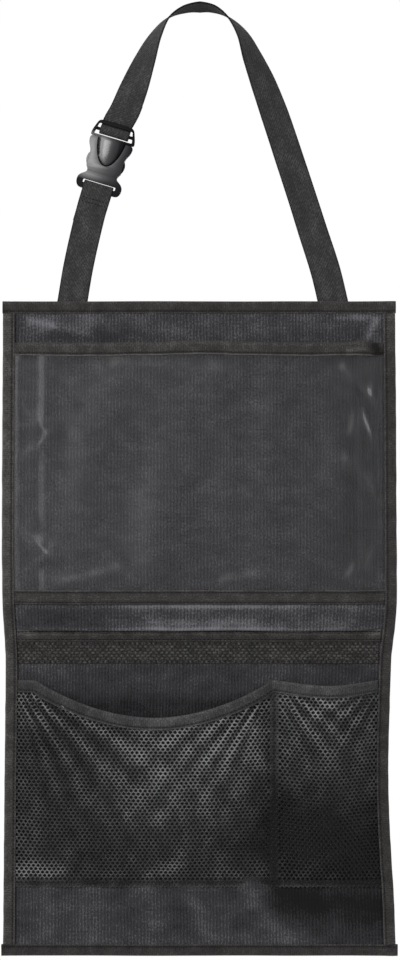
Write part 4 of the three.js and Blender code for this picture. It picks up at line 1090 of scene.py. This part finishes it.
def bead(start, end, outward):
    """A stitch: rings of five points on three stations between two sunk tips, in mm."""
    along = unit(end - start)
    side = unit(np.cross(along, outward))
    points = [start - outward * 0.25]
    for share, radius, rise in ((0.16, 0.30, 0.0), (0.5, 0.42, 0.10), (0.84, 0.30, 0.0)):
        middle = start + (end - start) * share + outward * rise
        points += [middle + radius * (math.cos(a) * side + math.sin(a) * outward)
                   for a in np.arange(5) * 2 * math.pi / 5]
    points.append(end - outward * 0.25)
    faces = [(0, 1 + (k + 1) % 5, 1 + k) for k in range(5)]
    for ring in (1, 6):
        faces += [(ring + k, ring + (k + 1) % 5, ring + 5 + (k + 1) % 5, ring + 5 + k)
                  for k in range(5)]
    faces += [(11 + k, 11 + (k + 1) % 5, 16) for k in range(5)]
    return points, faces


def stitch(name, target, lines, pitch=stitch_pitch, length=2.2, from_back=False):
    """Rows of stitches on a piece along lines of (x, z) points, seen from front or back."""
    bpy.context.view_layer.update()
    outward = np.array([0, 1.0 if from_back else -1.0, 0])
    points, faces = [], []
    for line in lines:
        line = np.array(line, dtype=float)
        run = path_length(line)
        for middle in np.arange(pitch / 2, run[-1], pitch):
            ends = []
            for at in (middle - length / 2, middle + length / 2):
                x, z = (np.interp(at, run, line[:, i]) for i in (0, 1))
                hit, place, _, _ = target.ray_cast(
                    Vector((x * MM, outward[1] * 0.2, z * MM)), Vector((0, -outward[1], 0)))
                if hit:
                    ends.append(np.array(place) / MM)
            if len(ends) == 2 and abs(ends[0][1] - ends[1][1]) < 1.5:
                more, rim = bead(*ends, outward)
                faces += [tuple(len(points) + k for k in face) for face in rim]
                points += more
    add_piece(name, points, faces, np.array(points)[:, [0, 2]], thread, "binding_tape")


def level_rows(*heights, reach=140):
    return [[(-reach, z), (reach, z)] for z in heights]


def curved_row(line, below):
    return [[(x, float(line(x)) - below) for x in np.arange(-138, 138.1, 2.0)]]


heights, from_edge = np.arange(-238, 238.1, 2.0), side_leg - stitch_inset
top_row = box_mm("top_binding")[0][2] + stitch_inset
bottom_row = box_mm("bottom_binding")[1][2] - stitch_inset
edge_rows = {
    "left": (left_tape, [[(float(left_edge(z)) + from_edge, z) for z in heights]]),
    "right": (right_tape, [[(float(right_edge(z)) - from_edge, z) for z in heights]]),
    "top": (top_tape, level_rows(top_row, reach=149)),
    "bottom": (bottom_tape, level_rows(bottom_row, reach=149)),
}
for name, (target, lines) in edge_rows.items():
    stitch(name + "_binding_stitches", target, lines)
    stitch(name + "_binding_back_stitches", target, lines, from_back=True)
stitch("window_mouth_stitches", hem, curved_row(hem_line, hem_leg - stitch_inset))
stitch("window_foot_stitches", foot_tape, level_rows(27.9, 20.4))
stitch("gusset_foot_stitches", seam_tape, level_rows(-2.3, -8.4))
stitch("knit_stitches", knit_cloth, level_rows(-11.6, -25.3))
stitch("net_mouth_stitches", mouth_tape, curved_row(net_mouth, mouth_leg - stitch_inset))
stitch("net_seam_stitches", net, [
    [(x, net_bottom - 0.4) for x in (-140, 140)], [(divider_x, net_bottom), (divider_x, -51)]],
    length=2.7)


def sewn_box(x, z, wide, tall, slant):
    corners = [(-wide, -tall), (wide, -tall), (wide, tall), (-wide, tall), (-wide, -tall),
               (wide, tall)]
    return [(x + a / 2 + slant * b / 2, z + b / 2) for a, b in corners]


for name, strap, x, slant in (("loop", loop_strap, 108.4, -0.25),
                              ("anchor", anchor_strap, -101.5, 0.17)):
    stitch(name + "_end_stitches", strap, [sewn_box(x, panel_top - 25, 18, 13, slant)],
           from_back=True)
fold_rows = [[tuple(on_buckle(0, v)[0][[0, 2]] + a * buckle_across[[0, 2]]) for a in (-10, 10)]
             for v in (-33.0, -36.0)]
stitch("anchor_fold_stitches", anchor_strap, fold_rows, pitch=2.6, length=1.9)

# %% [markdown]
# ## The moulded buckle
# The buckle is injection-moulded nylon with a soft gloss. Its true shape is already in the frame,
# so those two meshes stay, with their facets joined. A small bevel catches the light on the edges
# the way a mould's rounded corners do. Flat shading would show every facet, so only edges sharper
# than a limit stay sharp and the curves between them are shaded smooth.

# %% Buckle finish
def make_plastic(name, centre, reach, dome, roughness, side, ends):
    """Glossy nylon, crowned by a bump over the buckle's own axes: reach and dome in mm. Its
    painted shine fades to the right by side (slope, level) and past each end (height in mm, slope)."""
    n = Nodes(name)
    place = n.add("ShaderNodeTexCoord").outputs["Object"]
    split = n.add("ShaderNodeSeparateXYZ")
    n.link(place, split.inputs[0])

    def measured(a, b):
        """Distance from the buckle's middle along the direction (a, b) of x and z, in m."""
        start = -(buckle_at[0] * a + buckle_at[2] * b) * MM
        z_part = n.math("MULTIPLY", split.outputs[2], b)
        return n.math("ADD", n.math("MULTIPLY_ADD", split.outputs[0], a, z_part), start)

    u = measured(math.cos(lean), -math.sin(lean))
    v = measured(math.sin(lean), math.cos(lean))
    far = [n.math("MULTIPLY", n.math("SUBTRACT", at, c * MM), 1 / (r * MM))
           for at, c, r in zip((u, v), centre, reach)]
    square = n.math("ADD", *[n.math("MULTIPLY", f, f) for f in far])
    grain = n.fix(n.add("ShaderNodeTexNoise"), Scale=260)
    n.link(place, grain.inputs["Vector"])
    height = n.math("MULTIPLY_ADD", grain.outputs["Fac"], 0.05, n.math("MULTIPLY", square, -1.0))
    n.bump(height, dome)
    n.fix(n.shader, Base_Color=(*shade(38, 37, 40), 1), Roughness=roughness,
          Coat_Roughness=roughness)
    # Painted reflection: specular level and coat fade by place on the buckle.
    painted_shine = n.math("MULTIPLY_ADD", u, *side, clamp=True)
    for end, slope in ends:
        fade = n.math("MULTIPLY_ADD", v, slope, -slope * end * MM, clamp=True)
        painted_shine = n.math("MULTIPLY", painted_shine, fade)
    n.link(painted_shine, n.shader.inputs["Specular IOR Level"])
    n.link(painted_shine, n.shader.inputs["Coat Weight"])
    return n.material


plastics = {
    "buckle_socket": make_plastic("socket_plastic", (2, -8), (17, 30), 2.2, 0.42,
                                  (-34.0, 0.56), [(-20, 160.0)]),
    "buckle_plug": make_plastic("plug_plastic", (1.0, 7), (9, 14), 1.6, 0.22, (-66.0, 0.48),
                                [(18, -220.0)]),
}


def mould_shading(name, limit):
    """A modifier's nodes that shade a mesh smooth but for the edges sharper than the limit."""
    group = bpy.data.node_groups.new(name, "GeometryNodeTree")
    for way in ("INPUT", "OUTPUT"):
        group.interface.new_socket("Mesh", in_out=way, socket_type="NodeSocketGeometry")
    start, end = (group.nodes.new("NodeGroup" + way) for way in ("Input", "Output"))
    angle = group.nodes.new("GeometryNodeInputMeshEdgeAngle")
    sharp = group.nodes.new("FunctionNodeCompare")
    sharp.data_type, sharp.operation = "FLOAT", "GREATER_THAN"
    sharp.inputs[1].default_value = limit
    shading = group.nodes.new("GeometryNodeSetMeshNormal")
    shading.mode = "SHARPNESS"
    shading.inputs["Remove Custom"].default_value = True
    shading.inputs["Face Sharpness"].default_value = False
    for a, b in ((angle.outputs["Unsigned Angle"], sharp.inputs[0]),
                 (sharp.outputs[0], shading.inputs["Edge Sharpness"]),
                 (start.outputs[0], shading.inputs["Mesh"]),
                 (shading.outputs[0], end.inputs[0])):
        group.links.new(a, b)
    return group


join_within, edge_radius, edge_angle, sharp_angle = 0.01, 0.35, math.radians(40), math.radians(32)
mould = mould_shading("mould_shading", sharp_angle)
for node, plastic in plastics.items():
    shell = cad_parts[node]
    shell.data.materials.clear()
    shell.data.materials.append(plastic)
    shell.modifiers.new("joined", "WELD").merge_threshold = join_within * MM
    bevel = shell.modifiers.new("edges", "BEVEL")
    bevel.width, bevel.segments = edge_radius * MM, 2
    bevel.limit_method, bevel.angle_limit = "ANGLE", edge_angle
    shell.modifiers.new("shading", "NODES").node_group = mould
print("buckle finished")

# %% [markdown]
# ## Light, floor and camera
# The photograph is a cut-out on white under soft light from the front and a little from the left.
# One big area lamp does that, with a weak one on the right, and the world fills the rest. The
# camera stands 2.8 m away, level with the object, with a long lens.

# %% Stage
def area(name, place, size, power):
    data = bpy.data.lights.new(name, "AREA")
    data.shape = "RECTANGLE"
    data.size = data.size_y = size
    data.energy = power
    lamp = bpy.data.objects.new(name, data)
    lamp.location = place
    lamp.rotation_euler = (Vector((0, 0, 0.1)) - Vector(place)).to_track_quat("-Z", "Y").to_euler()
    bpy.context.scene.collection.objects.link(lamp)


area("key", (-1.2, -2.4, 0.85), 1.8, 48)
area("fill", (1.8, -2.0, 0.2), 1.4, 5)

bpy.context.scene.view_settings.view_transform = "Standard"
world = bpy.data.worlds.new("studio")
bpy.context.scene.world = world
world.use_nodes = True
tree = world.node_tree
rays = tree.nodes.new("ShaderNodeLightPath").outputs
seen = math_node(tree, "MAXIMUM", rays["Is Camera Ray"], rays["Is Transmission Ray"])
seen = math_node(tree, "MAXIMUM", seen, rays["Is Glossy Ray"])
background = tree.nodes["Background"]
background.inputs["Color"].default_value = (1, 1, 1, 1)
lit, shown = 0.30, 0.70
tree.links.new(math_node(tree, "MULTIPLY_ADD", seen, shown, lit), background.inputs["Strength"])

floor_height, camera_far, camera_height = -0.45, 2.8, 0.1137
bpy.ops.mesh.primitive_plane_add(size=2.0, location=(0, 0, floor_height))
floor = bpy.context.object
floor.name = "studio_floor"
finish = Nodes("studio_floor")
finish.fix(finish.shader, Base_Color=(0.8, 0.8, 0.8, 1))
floor.data.materials.append(finish.material)
floor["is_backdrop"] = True

camera_data = bpy.data.cameras.new("camera")
camera_data.lens = 137.1
camera_data.sensor_width = 36
camera = bpy.data.objects.new("camera", camera_data)
camera.location = (0.0008, -camera_far, camera_height)
camera.rotation_euler = (math.radians(90), 0, 0)
bpy.context.scene.collection.objects.link(camera)
bpy.context.scene.camera = camera

# %% Sizes and finish
low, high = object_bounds()
